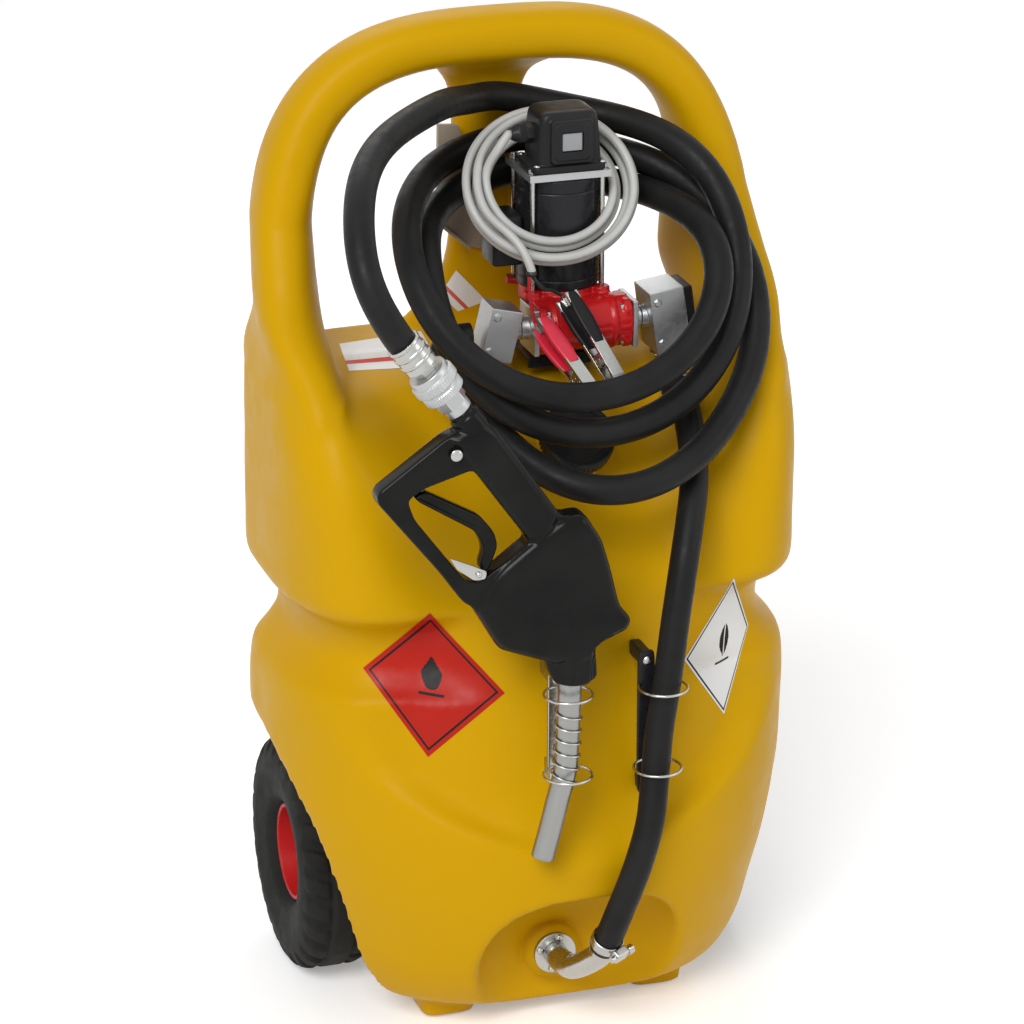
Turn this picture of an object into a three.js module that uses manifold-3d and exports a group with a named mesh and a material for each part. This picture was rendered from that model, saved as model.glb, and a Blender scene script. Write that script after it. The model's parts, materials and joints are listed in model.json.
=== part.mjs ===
// Fuel caddy: a hollow moulded tank on two wheels, with a motor pump, a coiled delivery hose,
// a trigger nozzle and battery leads. Millimetres, +Z up, +X to the right and +Y to the back.
import * as THREE from "three";
import { mergeVertices } from "three/addons/utils/BufferGeometryUtils.js";
import Module from "manifold-3d";

const wasm = await Module();
wasm.setup();

// Driving dimensions of the whole caddy
const tankHeight = 1060;
const tankWidth = 572;
const frontReach = 258;
const backReach = 145;
const sectionLineY = 20;
const tankWall = 5.5;
const gap = 0.3;
const overrun = 20;

const caddy = new THREE.Group();
const centred = new THREE.Group();
caddy.add(centred);

// Materials
const finish = (color, roughness, metalness) =>
  new THREE.MeshStandardMaterial({ color, roughness, metalness });
const yellowPlastic = finish(0xf0b400, 0.45, 0);
const blackPlastic = finish(0x1c1c1c, 0.4, 0);
const blackRubber = finish(0x222222, 0.7, 0);
const tyreRubber = finish(0x1a1a1c, 0.85, 0);
const redPlastic = finish(0xc01818, 0.5, 0);
const redPaint = finish(0xc8201c, 0.35, 0.1);
const blackPaint = finish(0x16171a, 0.3, 0.2);
const zincSteel = finish(0xc4c6c8, 0.35, 0.9);
const castAluminium = finish(0xc9ccce, 0.4, 0.8);
const brightAluminium = finish(0xd6d8da, 0.25, 0.9);
const greyCable = finish(0xb9bcbc, 0.5, 0);
const redSleeve = finish(0xe03a52, 0.5, 0);
const greyPlastic = finish(0x8c9092, 0.5, 0);
const beigeSteel = finish(0xa99a86, 0.6, 0.3);
const copperWire = finish(0xb4692f, 0.35, 0.9);

// Shape tools
const vec = (x, y, z) => new THREE.Vector3(x, y, z);
const turn = (degrees) => THREE.MathUtils.degToRad(degrees);
const signedPower = (value, power) => Math.sign(value) * Math.abs(value) ** power;
const smoothstep = (from, to, value) => THREE.MathUtils.smoothstep(value, from, to);

// A closed three.js geometry as a manifold solid
function solid(geometry) {
  const bare = geometry.clone();
  bare.deleteAttribute("normal");
  bare.deleteAttribute("uv");
  const merged = mergeVertices(bare);
  const corners = [];
  const index = merged.index.array;
  for (let i = 0; i < index.length; i += 3) {
    const [a, b, c] = [index[i], index[i + 1], index[i + 2]];
    if (a !== b && b !== c && c !== a) corners.push(a, b, c);
  }
  const vertProperties = new Float32Array(merged.attributes.position.array);
  const corner = (place) => vec().fromArray(vertProperties, 3 * corners[place]);
  let volume = 0;
  for (let i = 0; i < corners.length; i += 3) {
    volume += corner(i).dot(corner(i + 1).cross(corner(i + 2)));
  }
  const triVerts = new Uint32Array(volume < 0 ? corners.reverse() : corners);
  return new wasm.Manifold(new wasm.Mesh({ numProp: 3, vertProperties, triVerts }));
}

// A manifold solid back as a three.js geometry
function shaped(body) {
  const mesh = body.getMesh();
  const geometry = new THREE.BufferGeometry();
  geometry.setAttribute("position", new THREE.Float32BufferAttribute(mesh.vertProperties, 3));
  geometry.setIndex(new THREE.Uint32BufferAttribute(mesh.triVerts, 1));
  geometry.computeVertexNormals();
  return geometry;
}

const union = (...bodies) => bodies.reduce((whole, body) => whole.add(body));

// Adds one named piece to the caddy
function piece(name, shape, material) {
  const mesh = new THREE.Mesh(shaped(shape.isBufferGeometry ? solid(shape) : shape), material);
  mesh.name = name;
  centred.add(mesh);
}

// Closed skin over rings of points stacked from the lowest up, capped flat at both ends
function loft(rings) {
  const sides = rings[0].length;
  const points = rings.flat();
  const faces = [];
  for (let ring = 0; ring + 1 < rings.length; ring += 1) {
    for (let side = 0; side < sides; side += 1) {
      const next = (side + 1) % sides;
      const [a, b] = [ring * sides + side, ring * sides + next];
      faces.push(a, b, b + sides, a, b + sides, a + sides);
    }
  }
  for (const [ring, upward] of [[0, false], [rings.length - 1, true]]) {
    const outline = rings[ring].map((point) => new THREE.Vector2(point.x, point.y));
    const turnsLeft = !THREE.ShapeUtils.isClockWise(outline);
    const first = ring * sides;
    for (const [a, b, c] of THREE.ShapeUtils.triangulateShape(outline, [])) {
      const corners = [outline[a], outline[b], outline[c]];
      const left = !THREE.ShapeUtils.isClockWise(corners);
      const face = left === (upward === turnsLeft) ? [a, b, c] : [a, c, b];
      faces.push(...face.map((corner) => first + corner));
    }
  }
  const geometry = new THREE.BufferGeometry().setFromPoints(points);
  geometry.setIndex(faces);
  return geometry;
}

// Round bar, disc or stepped turning: [radius, height] pairs from axis to axis, along +Z
function turned(profile, sides) {
  const points = profile.map(([radius, height]) => new THREE.Vector2(radius, height));
  return new THREE.LatheGeometry(points, sides).rotateX(Math.PI / 2);
}
const disc = (radius, from, to, sides) =>
  turned([[0, from], [radius, from], [radius, to], [0, to]], sides);
const alongX = (geometry) => geometry.rotateY(Math.PI / 2);
const alongY = (geometry) => geometry.rotateX(-Math.PI / 2);
const block = (width, depth, height) => new THREE.BoxGeometry(width, depth, height);

// Tube of a given radius along a curve
function tube(curve, radius, sides, steps) {
  const outline = [];
  for (let side = 0; side < sides; side += 1) {
    const angle = (2 * Math.PI * side) / sides;
    outline.push(new THREE.Vector2(radius * Math.cos(angle), radius * Math.sin(angle)));
  }
  const options = { steps, bevelEnabled: false, extrudePath: curve };
  return new THREE.ExtrudeGeometry(new THREE.Shape(outline), options);
}
const route = (points) => new THREE.CatmullRomCurve3(points.map((p) => vec(...p)), false, "centripetal");

// Flat plate cut from an outline in the XZ plane, from y = front to y = back
function plate(outline, front, back, holes = []) {
  const flat = outline.map(([x, z]) => new THREE.Vector2(x, z));
  const shape = new THREE.Shape(THREE.ShapeUtils.isClockWise(flat) ? flat.reverse() : flat);
  for (const hole of holes) {
    shape.holes.push(new THREE.Path(hole.map(([x, z]) => new THREE.Vector2(x, z))));
  }
  const options = { depth: back - front, bevelEnabled: false };
  return new THREE.ExtrudeGeometry(shape, options).rotateX(Math.PI / 2).translate(0, back, 0);
}

// Tank: horizontal sections from the floor pan up to the seat of the pump.
// Each row holds shares of: tank height, half width, front reach, back reach, groove depth,
// channel depth, channel half width, channel floor, then the front and back corner powers.
const grooveDepth = 30;
const channelDepth = 100;
const grooveStartShare = 0.2;
const grooveFullShare = 0.6;
const levelShares = [
  [0.0170, 0.601, 0.566, 0.828, 0, 0.00, 0.7, 0.6, 2.8, 3],
  [0.0340, 0.748, 0.713, 0.945, 0, 0.00, 0.7, 0.6, 2.5, 3.4],
  [0.0519, 0.811, 0.791, 0.972, 0, 0.00, 0.7, 0.6, 2.3, 3.6],
  [0.0802, 0.857, 0.868, 0.993, 0, 0.00, 0.6, 0.6, 2.2, 3.8],
  [0.1179, 0.895, 0.938, 1.000, 0, 0.00, 0.4, 0.6, 2.1, 4],
  [0.1604, 0.934, 0.981, 1.000, 0, 0.00, 0.3, 0.6, 2.1, 4],
  [0.2028, 0.965, 1.000, 1.000, 0, 0.00, 0.2, 0.6, 2.1, 4],
  [0.2226, 0.976, 1.000, 1.000, 0, 0.06, 0.24, 0.4, 2.1, 4],
  [0.2377, 0.986, 1.000, 1.000, 0, 0.15, 0.38, 0.5, 2.1, 4],
  [0.2547, 0.993, 0.996, 1.000, 0, 0.22, 0.54, 0.6, 2.1, 4],
  [0.2755, 0.997, 0.992, 1.000, 0, 0.28, 0.68, 0.64, 2.1, 4],
  [0.3000, 1.000, 0.988, 1.000, 0, 0.32, 0.8, 0.66, 2.1, 4],
  [0.3302, 1.000, 0.981, 1.000, 0, 0.35, 0.88, 0.66, 2.15, 4],
  [0.3547, 0.993, 0.969, 1.000, 0, 0.36, 0.92, 0.62, 2.2, 4],
  [0.3698, 0.990, 0.961, 1.000, 0.14, 0.37, 0.92, 0.58, 2.3, 4.2],
  [0.3811, 0.990, 0.957, 1.000, 0.5, 0.38, 0.92, 0.55, 2.3, 4.3],
  [0.4038, 0.990, 0.946, 1.000, 1, 0.40, 0.92, 0.5, 2.4, 4.5],
  [0.4292, 0.990, 0.930, 1.000, 1, 0.44, 0.92, 0.45, 2.5, 4.7],
  [0.4415, 0.990, 0.922, 1.000, 0.85, 0.48, 0.92, 0.4, 2.6, 4.8],
  [0.4500, 0.990, 0.919, 1.000, 0.45, 0.51, 0.92, 0.4, 2.6, 4.9],
  [0.4575, 0.990, 0.915, 1.000, 0.12, 0.54, 0.92, 0.36, 2.7, 5],
  [0.4679, 0.990, 0.911, 1.000, 0, 0.59, 0.92, 0.34, 2.8, 5],
  [0.5047, 0.990, 0.888, 1.000, 0, 0.84, 0.91, 0.32, 2.9, 5],
  [0.5472, 0.990, 0.822, 1.000, 0, 0.97, 0.9, 0.32, 3.2, 5],
  [0.5934, 0.986, 0.717, 1.000, 0, 1.00, 0.88, 0.38, 3.8, 5],
  [0.6226, 0.986, 0.632, 1.000, 0, 1.04, 0.86, 0.48, 4, 5],
  [0.6434, 0.983, 0.558, 1.000, 0, 1.14, 0.84, 0.6, 4.2, 5],
  [0.6528, 0.983, 0.523, 1.000, 0, 1.32, 0.82, 0.68, 4.3, 5],
  [0.6585, 0.979, 0.500, 1.000, 0, 1.62, 0.8, 0.74, 4.3, 5],
  [0.6623, 0.976, 0.481, 0.993, 0, 1.58, 0.79, 0.78, 4.3, 5],
  [0.6651, 0.965, 0.461, 0.972, 0, 1.54, 0.785, 0.8, 4.3, 5],
  [0.6670, 0.937, 0.426, 0.924, 0, 1.52, 0.78, 0.8, 4.3, 5],
];
const seatHeight = levelShares.at(-1)[0] * tankHeight;

function sectionPoint(level, angle, inset) {
  const [heightShare, widthShare, frontShare, backShare, groove, channel] = level;
  const [channelWidth, channelFloor, frontPower, backPower] = level.slice(6);
  const isFront = Math.sin(angle) < 0;
  const power = isFront ? frontPower : backPower;
  const halfWidth = (widthShare * tankWidth) / 2 - inset;
  const reach = (isFront ? frontShare * frontReach : backShare * backReach) - inset;
  const across = signedPower(Math.cos(angle), 2 / power);
  const along = signedPower(Math.sin(angle), 2 / power);
  const fade = isFront ? smoothstep(grooveStartShare, grooveFullShare, Math.abs(across)) : 1;
  const shrink = 1 - (2 * groove * grooveDepth * fade) / tankWidth;
  const x = across * halfWidth * shrink;
  const channelEdge = (channelWidth * tankWidth) / 2 + inset;
  const dip = isFront ? 1 - smoothstep(channelFloor, 1, Math.abs(x) / channelEdge) : 0;
  const y = sectionLineY + along * reach * shrink + channel * channelDepth * dip;
  const rise = inset * (1 - (2 * heightShare * tankHeight) / seatHeight);
  return vec(x, y, heightShare * tankHeight + rise);
}

function tankBody(sides, inset, stride = 1) {
  const last = levelShares.length - 1;
  const levels = levelShares.filter((level, row) => row % stride === 0 || row === last);
  const rings = levels.map((level) => {
    const ring = [];
    for (let side = 0; side < sides; side += 1) {
      ring.push(sectionPoint(level, (2 * Math.PI * (side + 0.5)) / sides, inset));
    }
    return ring;
  });
  return solid(loft(rings));
}

// Handle hoop: two legs that grow out of the tank, joined by an arch
const hoopHalfWidth = 238;
const hoopThickness = 57;
const hoopFrontY = 60;
const hoopBackY = 132;
const legThickness = 66;
const legFrontY = 34;
const legBackY = 163;
const legLeanAngle = 14;
const archPower = 3;
const archBaseRise = 72.98;
const archBase = seatHeight + archBaseRise;
const archStartAngle = 12;
const roundPower = 0.8;
// Rows of tank height share, hoop half width share, leg thickness share, front and back reach shares
const legShares = [
  [0.585, 0.996, 0.91, 0.419, 0.897],
  [0.623, 1.013, 1.00, 0.481, 0.952],
  [0.658, 1.021, 1.09, 0.450, 0.986],
  [0.693, 1.013, 1.08, 0.318, 0.986],
  [0.726, 1.004, 1.05, 0.171, 0.986],
  [0.759, 1.000, 1.02, 0.047, 0.986],
];

function hoopRing(place, normal, size, sides, inset) {
  const [half, front, back, lean] = size;
  const middle = (front + back) / 2;
  const ring = [];
  for (let side = 0; side < sides; side += 1) {
    const angle = (2 * Math.PI * side) / sides;
    const out = (half - inset) * signedPower(Math.cos(angle), roundPower);
    const along = ((back - front) / 2 - inset) * signedPower(Math.sin(angle), roundPower);
    const across = out * Math.cos(turn(lean)) - along * Math.sin(turn(lean));
    const y = middle + along * Math.cos(turn(lean)) + out * Math.sin(turn(lean));
    ring.push(vec(place[0] + normal[0] * across, y, place[1] + normal[1] * across));
  }
  return ring;
}

function hoop(sides, archSteps, inset) {
  const rise = tankHeight - hoopThickness / 2 - archBase;
  const leg = (row, side) => {
    const [heightShare, widthShare, thickShare, frontShare, backShare] = row;
    const z = heightShare * tankHeight;
    const front = sectionLineY - frontShare * frontReach;
    const back = sectionLineY + backShare * backReach;
    const lean = legLeanAngle * smoothstep(seatHeight, archBase, z);
    const size = [(thickShare * legThickness) / 2, front, back, lean];
    return hoopRing([side * widthShare * hoopHalfWidth, z], [side, 0], size, sides, inset);
  };
  const rings = legShares.map((row) => leg(row, 1));
  for (let step = 0; step <= archSteps; step += 1) {
    const angle = turn(archStartAngle + ((180 - 2 * archStartAngle) * step) / archSteps);
    const acrossShare = signedPower(Math.cos(angle), 2 / archPower);
    const riseShare = Math.sin(angle) ** (2 / archPower);
    const slopeX = signedPower(acrossShare, archPower - 1) / hoopHalfWidth;
    const slopeZ = riseShare ** (archPower - 1) / rise;
    const length = Math.hypot(slopeX, slopeZ);
    const top = smoothstep(0.1, 0.9, riseShare);
    const half = THREE.MathUtils.lerp(legThickness, hoopThickness, top) / 2;
    const front = THREE.MathUtils.lerp(legFrontY, hoopFrontY, top);
    const back = THREE.MathUtils.lerp(legBackY, hoopBackY, top);
    const place = [hoopHalfWidth * acrossShare, archBase + rise * riseShare];
    const size = [half, front, back, legLeanAngle * (1 - top)];
    rings.push(hoopRing(place, [slopeX / length, slopeZ / length], size, sides, inset));
  }
  [...legShares].reverse().forEach((row) => rings.push(leg(row, -1)));
  return solid(loft(rings));
}

// Web: the bar between the two hand openings, flared into the hoop and the seat
const webHalfWidth = 37;
const webHalfDepth = 25;
const webMiddleY = 139;
const webMiddleX = 1;
const webTopY = 108;
// Rows of tank height share and web half width share
const webShares = [
  [0.630, 2.9], [0.660, 2.9], [0.6755, 2.4], [0.6934, 1.85], [0.717, 1.36], [0.755, 1.1],
  [0.820, 1.0], [0.885, 1.0], [0.913, 1.12], [0.932, 1.5], [0.946, 2.1], [0.957, 2.5], [0.968, 1.6],
];

function web(sides, inset) {
  const rings = webShares.map(([heightShare, widthShare]) => {
    const z = heightShare * tankHeight;
    const top = smoothstep(0.925, 0.95, heightShare);
    const middle = THREE.MathUtils.lerp(webMiddleY, webTopY, top);
    const depth = webHalfDepth * (1 - 0.1 * top) - inset;
    const ring = [];
    for (let side = 0; side < sides; side += 1) {
      const angle = (2 * Math.PI * side) / sides;
      const x = (widthShare * webHalfWidth - inset) * signedPower(Math.cos(angle), roundPower);
      ring.push(vec(webMiddleX + x, middle + depth * signedPower(Math.sin(angle), roundPower), z));
    }
    return ring;
  });
  return solid(loft(rings));
}

// Feet moulded under the front of the floor pan
const footWidth = 62;
const footDepth = 70;
const footHeight = 40;
const footX = 118;
const footY = -74;
const foot = (side) =>
  solid(block(footWidth, footDepth, footHeight).translate(side * footX, footY, footHeight / 2));

// Wheels and the arches cut for them in the lower rear corners of the tank
const wheelDiameter = 260;
const wheelWidth = 86;
const wheelY = 85;
const wheelInset = 28;
const wheelOuterX = tankWidth / 2 - wheelInset;
const wheelZ = wheelDiameter / 2;
const wheelInnerX = wheelOuterX - wheelWidth;
const archReach = 180;
const archHeight = 182;
const archCornerPower = 2.5;
const archWallX = wheelInnerX - 14;

function wheelArch(side, inset) {
  const outline = [[wheelY + tankWidth, wheelZ + archHeight + inset]];
  const steps = 8;
  for (let step = 0; step <= steps; step += 1) {
    const angle = turn(90 + (90 * step) / steps);
    const y = wheelY + (archReach + inset) * signedPower(Math.cos(angle), 2 / archCornerPower);
    const z = wheelZ + (archHeight + inset) * Math.sin(angle) ** (2 / archCornerPower);
    outline.push([y, z]);
  }
  outline.push([wheelY - archReach - inset, -overrun], [wheelY + tankWidth, -overrun]);
  const shape = new THREE.Shape(outline.map(([y, z]) => new THREE.Vector2(y, z)));
  const geometry = new THREE.ExtrudeGeometry(shape, { depth: tankWidth, bevelEnabled: false });
  geometry.rotateX(Math.PI / 2).rotateZ(Math.PI / 2);
  const from = archWallX - inset;
  return solid(geometry.translate(side > 0 ? from : -from - tankWidth, 0, 0));
}

// Alcove: a rounded hollow under the belly for the drain, with a flat boss on its back wall
const alcoveHalfWidth = 122;
const alcoveDepth = 112;
const alcoveRise = 140;
const alcoveInset = 13;
const alcoveY = alcoveInset - frontReach;
const alcoveZ = 40;
const alcovePower = 2.8;

function alcove(sides, rows, inset) {
  const rings = [];
  for (let row = 0; row <= rows; row += 1) {
    const tilt = turn(-88 + (176 * row) / rows);
    const spread = Math.cos(tilt) ** (2 / alcovePower);
    const z = alcoveZ + (alcoveRise + inset) * signedPower(Math.sin(tilt), 2 / alcovePower);
    const ring = [];
    for (let side = 0; side < sides; side += 1) {
      const angle = (2 * Math.PI * (side + 0.5)) / sides;
      const x = (alcoveHalfWidth + inset) * spread * signedPower(Math.cos(angle), 2 / alcovePower);
      const y = (alcoveDepth + inset) * spread * signedPower(Math.sin(angle), 2 / alcovePower);
      ring.push(vec(x, alcoveY + y, z));
    }
    rings.push(ring);
  }
  return solid(loft(rings));
}
const drainX = -15;
const drainZ = 84;
const drainBossRadius = 31;
const drainInset = 108;
const drainFaceY = drainInset - frontReach;
const drainHoleRadius = 14;

// Filler neck on the sloping seat
const fillerX = 25.5;
const fillerReachShare = 0.34108527;
const fillerY = -fillerReachShare * frontReach;
const fillerHeightShare = 0.59811321;
const fillerZ = fillerHeightShare * tankHeight;
const fillerTiltAngle = 45;
const neckRadius = 35;
const neckBore = 28;
const neckRise = 17;
const neckDepth = 24;
const neckSides = 20;
const fillerFrame = new THREE.Matrix4()
  .makeTranslation(fillerX, fillerY, fillerZ)
  .multiply(new THREE.Matrix4().makeRotationX(turn(fillerTiltAngle)));

// Axle tunnel through the back of the tank
const axleRadius = 10;
const tunnelRadius = axleRadius + gap;

const tankOuter = union(tankBody(34, 0), hoop(10, 14, 0), web(10, 0), foot(1), foot(-1));
const drainBoss = solid(alongY(disc(drainBossRadius, 0, overrun * 2, 20)))
  .translate([drainX, drainFaceY, drainZ]);
const neck = solid(disc(neckRadius, -neckDepth, neckRise, neckSides).applyMatrix4(fillerFrame));
const neckHole = solid(disc(neckBore, -neckDepth - overrun, neckRise + overrun, neckSides)
  .applyMatrix4(fillerFrame));
const tunnel = (radius) => solid(alongX(disc(radius, -tankWidth, tankWidth, 16)))
  .translate([0, wheelY, wheelZ]);
const drainHole = solid(alongY(disc(drainHoleRadius, -overrun, overrun * 3, 16)))
  .translate([drainX, drainFaceY, drainZ]);
const hollow = union(tankBody(18, tankWall, 2), hoop(6, 9, tankWall), web(6, tankWall))
  .subtract(wheelArch(1, tankWall))
  .subtract(wheelArch(-1, tankWall))
  .subtract(alcove(14, 6, tankWall))
  .subtract(drainBoss)
  .subtract(tunnel(axleRadius + tankWall));
const tankShell = tankOuter
  .subtract(wheelArch(1, 0))
  .subtract(wheelArch(-1, 0))
  .subtract(alcove(14, 6, 0))
  .add(drainBoss)
  .add(neck)
  .subtract(hollow)
  .subtract(neckHole)
  .subtract(drainHole)
  .subtract(tunnel(tunnelRadius));
piece("tank_shell", tankShell, yellowPlastic);

// Filler cap with its seal
const capRadius = 40;
const capTop = 26;
const capSkirt = 8;
const sealThickness = 2.4;
const sealWidth = 5;
const capCeiling = neckRise + 2 * gap + sealThickness;
const capBore = (neckRadius + gap) / Math.cos(Math.PI / neckSides);
const capShape = turned(
  [
    [0, capCeiling], [capBore, capCeiling], [capBore, capSkirt],
    [capRadius, capSkirt], [capRadius, 0.85 * capTop], [0.93 * capRadius, capTop], [0, capTop],
  ],
  neckSides,
);
piece("filler_cap", capShape.applyMatrix4(fillerFrame), blackPlastic);
const sealOuter = neckRadius - gap;
const ringShape = (inner, outer, from, to, sides) =>
  turned([[inner, from], [outer, from], [outer, to], [inner, to], [inner, from]], sides);
const sealShape = ringShape(sealOuter - sealWidth, sealOuter, neckRise + gap, capCeiling - gap, neckSides);
piece("filler_cap_seal", sealShape.applyMatrix4(fillerFrame), blackRubber);

// Axle: a rod with a head, closed at the other end by a cap
const hubOuterShare = 0.63;
const hubOuterX = wheelInnerX + hubOuterShare * wheelWidth;
const axleHeadRadius = 15;
const axleHeadWidth = 6;
const capWidth = 10;
const axleEndX = hubOuterX + 0.7 * capWidth;
const atWheel = (geometry, side) => {
  const turnedX = alongX(geometry);
  return (side < 0 ? turnedX.rotateZ(Math.PI) : turnedX).translate(0, wheelY, wheelZ);
};
const axleShape = turned(
  [
    [0, -axleEndX], [axleRadius, -axleEndX], [axleRadius, hubOuterX + gap],
    [axleHeadRadius, hubOuterX + gap], [axleHeadRadius, hubOuterX + axleHeadWidth],
    [0, hubOuterX + axleHeadWidth],
  ],
  16,
);
piece("axle", atWheel(axleShape, -1), zincSteel);
const axleCapShape = turned(
  [
    [axleRadius + gap, hubOuterX + gap], [axleHeadRadius, hubOuterX + gap],
    [axleHeadRadius, hubOuterX + capWidth], [0, hubOuterX + capWidth],
    [0, axleEndX + gap], [axleRadius + gap, axleEndX + gap], [axleRadius + gap, hubOuterX + gap],
  ],
  16,
);
piece("axle_cap", atWheel(axleCapShape, 1), blackPlastic);

// Wheels: tyre, one-piece rim and a plain bushing on each side
const wheelRadius = wheelDiameter / 2;
const bushingWall = 3.2;
const bushingOuter = axleRadius + gap + bushingWall;
// Rows of wheel radius share and wheel width share, measured outward from the inner face
const tyreShares = [
  [0.42, 0.2], [0.48, 0.08], [0.73, 0.0], [0.9, 0.04], [0.975, 0.12], [1, 0.22],
  [1, 0.78], [0.975, 0.88], [0.9, 0.96], [0.73, 1], [0.48, 0.92], [0.42, 0.8], [0.42, 0.2],
];
const rimShares = [
  [0.17, 0.38], [0.36, 0.4], [0.37, 0.17], [0.413, 0.17], [0.413, 0.83], [0.375, 0.83],
  [0.37, 0.56], [0.24, 0.52], [0.19, hubOuterShare],
];
const hubInnerX = archWallX + 1.5 * gap;
for (const [side, label] of [[-1, "left"], [1, "right"]]) {
  const spread = (rows) =>
    rows.map(([radius, width]) => [radius * wheelRadius, wheelInnerX + width * wheelWidth]);
  piece(`wheel_${label}_tyre`, atWheel(turned(spread(tyreShares), 24), side), tyreRubber);
  const bore = bushingOuter + gap;
  const hub = [[bore, hubInnerX], [1.45 * bore, hubInnerX]];
  const rimOutline = [...hub, ...spread(rimShares), [bore, hubOuterX], [bore, hubInnerX]];
  piece(`wheel_${label}_rim`, atWheel(turned(rimOutline, 18), side), redPlastic);
  const bushing = ringShape(axleRadius + gap, bushingOuter, hubInnerX, hubOuterX, 16);
  piece(`wheel_${label}_bushing`, atWheel(bushing, side), greyPlastic);
}

// Pump: bracket on the seat, cast body with two port flanges, and the rotor bore
const pumpX = 40;
const pumpY = 10;
const portY = -32;
const portRise = 40.98;
const portZ = seatHeight + portRise;
const portRadius = 28;
const portFrom = -1;
const portTo = 101;
const flangeSize = 52;
const flangeThickness = 9;
const padRadius = 42;
const padRise = 75.98;
const padTop = seatHeight + padRise;
const padThickness = 18;
const earThickness = 8;
const rodX = 38;
const rodY = 31;
const rodRadius = 3;
const rotorHousingRadius = 33;
const rotorHousingRise = 10.98;
const rotorHousingBottom = seatHeight + rotorHousingRise;
const bracketThickness = 4;
const bracketTop = seatHeight + gap + bracketThickness;
const bracketWidth = 84;
const bracketFrontY = -22;
const bracketBackY = 78;
const boltRadius = 4;
const between = (from, to) => (from + to) / 2;
const box = (x0, x1, y0, y1, z0, z1) =>
  solid(block(x1 - x0, y1 - y0, z1 - z0).translate(between(x0, x1), between(y0, y1), between(z0, z1)));
const upright = (radius, x, y, from, to, sides) =>
  solid(disc(radius, from, to, sides).translate(x, y, 0));
const across = (radius, from, to, y, z, sides) =>
  solid(alongX(disc(radius, from, to, sides)).translate(0, y, z));

const bracketFrom = pumpX - bracketWidth / 2;
const bracketTo = pumpX + bracketWidth / 2;
const bracketBottom = bracketTop - bracketThickness;
const bracket = union(
  box(bracketFrom, bracketTo, bracketFrontY, bracketBackY, bracketBottom, bracketTop),
  box(bracketFrom, bracketTo, bracketFrontY, bracketFrontY + bracketThickness,
    bracketBottom - 2 * bracketThickness, bracketTop),
  ...[-1, 1].map((side) =>
    upright(2 * boltRadius, pumpX + side * (bracketWidth / 2 - 3 * boltRadius),
      bracketBackY - 3 * boltRadius, bracketBottom, bracketTop + boltRadius, 6)),
);
piece("pump_bracket", bracket, blackPaint);

const shaftRadius = 6;
const flangeBlock = (from) =>
  box(from, from + flangeThickness, portY - flangeSize / 2, portY + flangeSize / 2,
    portZ - flangeSize / 2, portZ + flangeSize / 2);
const ear = (sideX, sideY) =>
  upright(3 * rodRadius, pumpX + sideX * rodX, pumpY + sideY * rodY, padTop - earThickness, padTop, 8);
const corners = [[-1, -1], [1, -1], [-1, 1], [1, 1]];
const footHalf = rotorHousingRadius - boltRadius;
const pumpBody = union(
  across(portRadius, portFrom, portTo, portY, portZ, 16),
  flangeBlock(portFrom),
  flangeBlock(portTo - flangeThickness),
  upright(rotorHousingRadius, pumpX, pumpY - boltRadius, rotorHousingBottom, padTop - boltRadius, 20),
  upright(padRadius, pumpX, pumpY, padTop - padThickness, padTop, 20),
  ...corners.map(([sideX, sideY]) => ear(sideX, sideY)),
  box(pumpX - footHalf, pumpX + footHalf, pumpY - footHalf, pumpY + footHalf,
    bracketTop + gap, portZ - 3 * boltRadius),
).subtract(upright(shaftRadius + gap, pumpX, pumpY, portZ, padTop + overrun, 12));
piece("pump_body", pumpBody, redPaint);

// Motor: armature on its shaft inside the housing, four tie rods, and the plate on top
const motorRadius = 44;
const motorWall = 3;
const motorRise = 195.98;
const motorTop = seatHeight + motorRise;
const topPlateThickness = 7.5;
const topPlateWidth = 88;
const topPlateDepth = 84;
const armatureRadius = 33;
const armatureRise = 97.98;
const armatureFrom = seatHeight + armatureRise;
const armatureHeight = 72;
const armatureTo = armatureFrom + armatureHeight;
const shaftFrom = portZ + 2 * gap;
const shaftTo = motorTop - 2 * motorWall;
const armatureShape = turned(
  [
    [0, shaftFrom], [shaftRadius, shaftFrom], [shaftRadius, armatureFrom],
    [armatureRadius, armatureFrom], [armatureRadius, armatureTo], [shaftRadius, armatureTo],
    [shaftRadius, shaftTo], [0, shaftTo],
  ],
  14,
);
piece("motor_armature", armatureShape.translate(pumpX, pumpY, 0), copperWire);
const housingInner = motorRadius - motorWall;
const housingShape = turned(
  [
    [housingInner, padTop + gap], [motorRadius, padTop + gap], [motorRadius, motorTop],
    [0, motorTop], [0, shaftTo + gap], [housingInner, shaftTo + gap], [housingInner, padTop + gap],
  ],
  24,
);
piece("motor_housing", housingShape.translate(pumpX, pumpY, 0), blackPaint);
const plateBottom = motorTop + gap;
const plateTop = plateBottom + topPlateThickness;
const rodHoles = corners.map(([sideX, sideY]) =>
  upright(rodRadius + gap, pumpX + sideX * rodX, pumpY + sideY * rodY,
    motorTop - overrun, plateTop + overrun, 12));
const topPlate = box(pumpX - topPlateWidth / 2, pumpX + topPlateWidth / 2,
  pumpY - topPlateDepth / 2, pumpY + topPlateDepth / 2, plateBottom, plateTop);
piece("motor_top_plate", topPlate.subtract(union(...rodHoles)), castAluminium);
const nutRadius = 5;
const nutHeight = 4;
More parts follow.
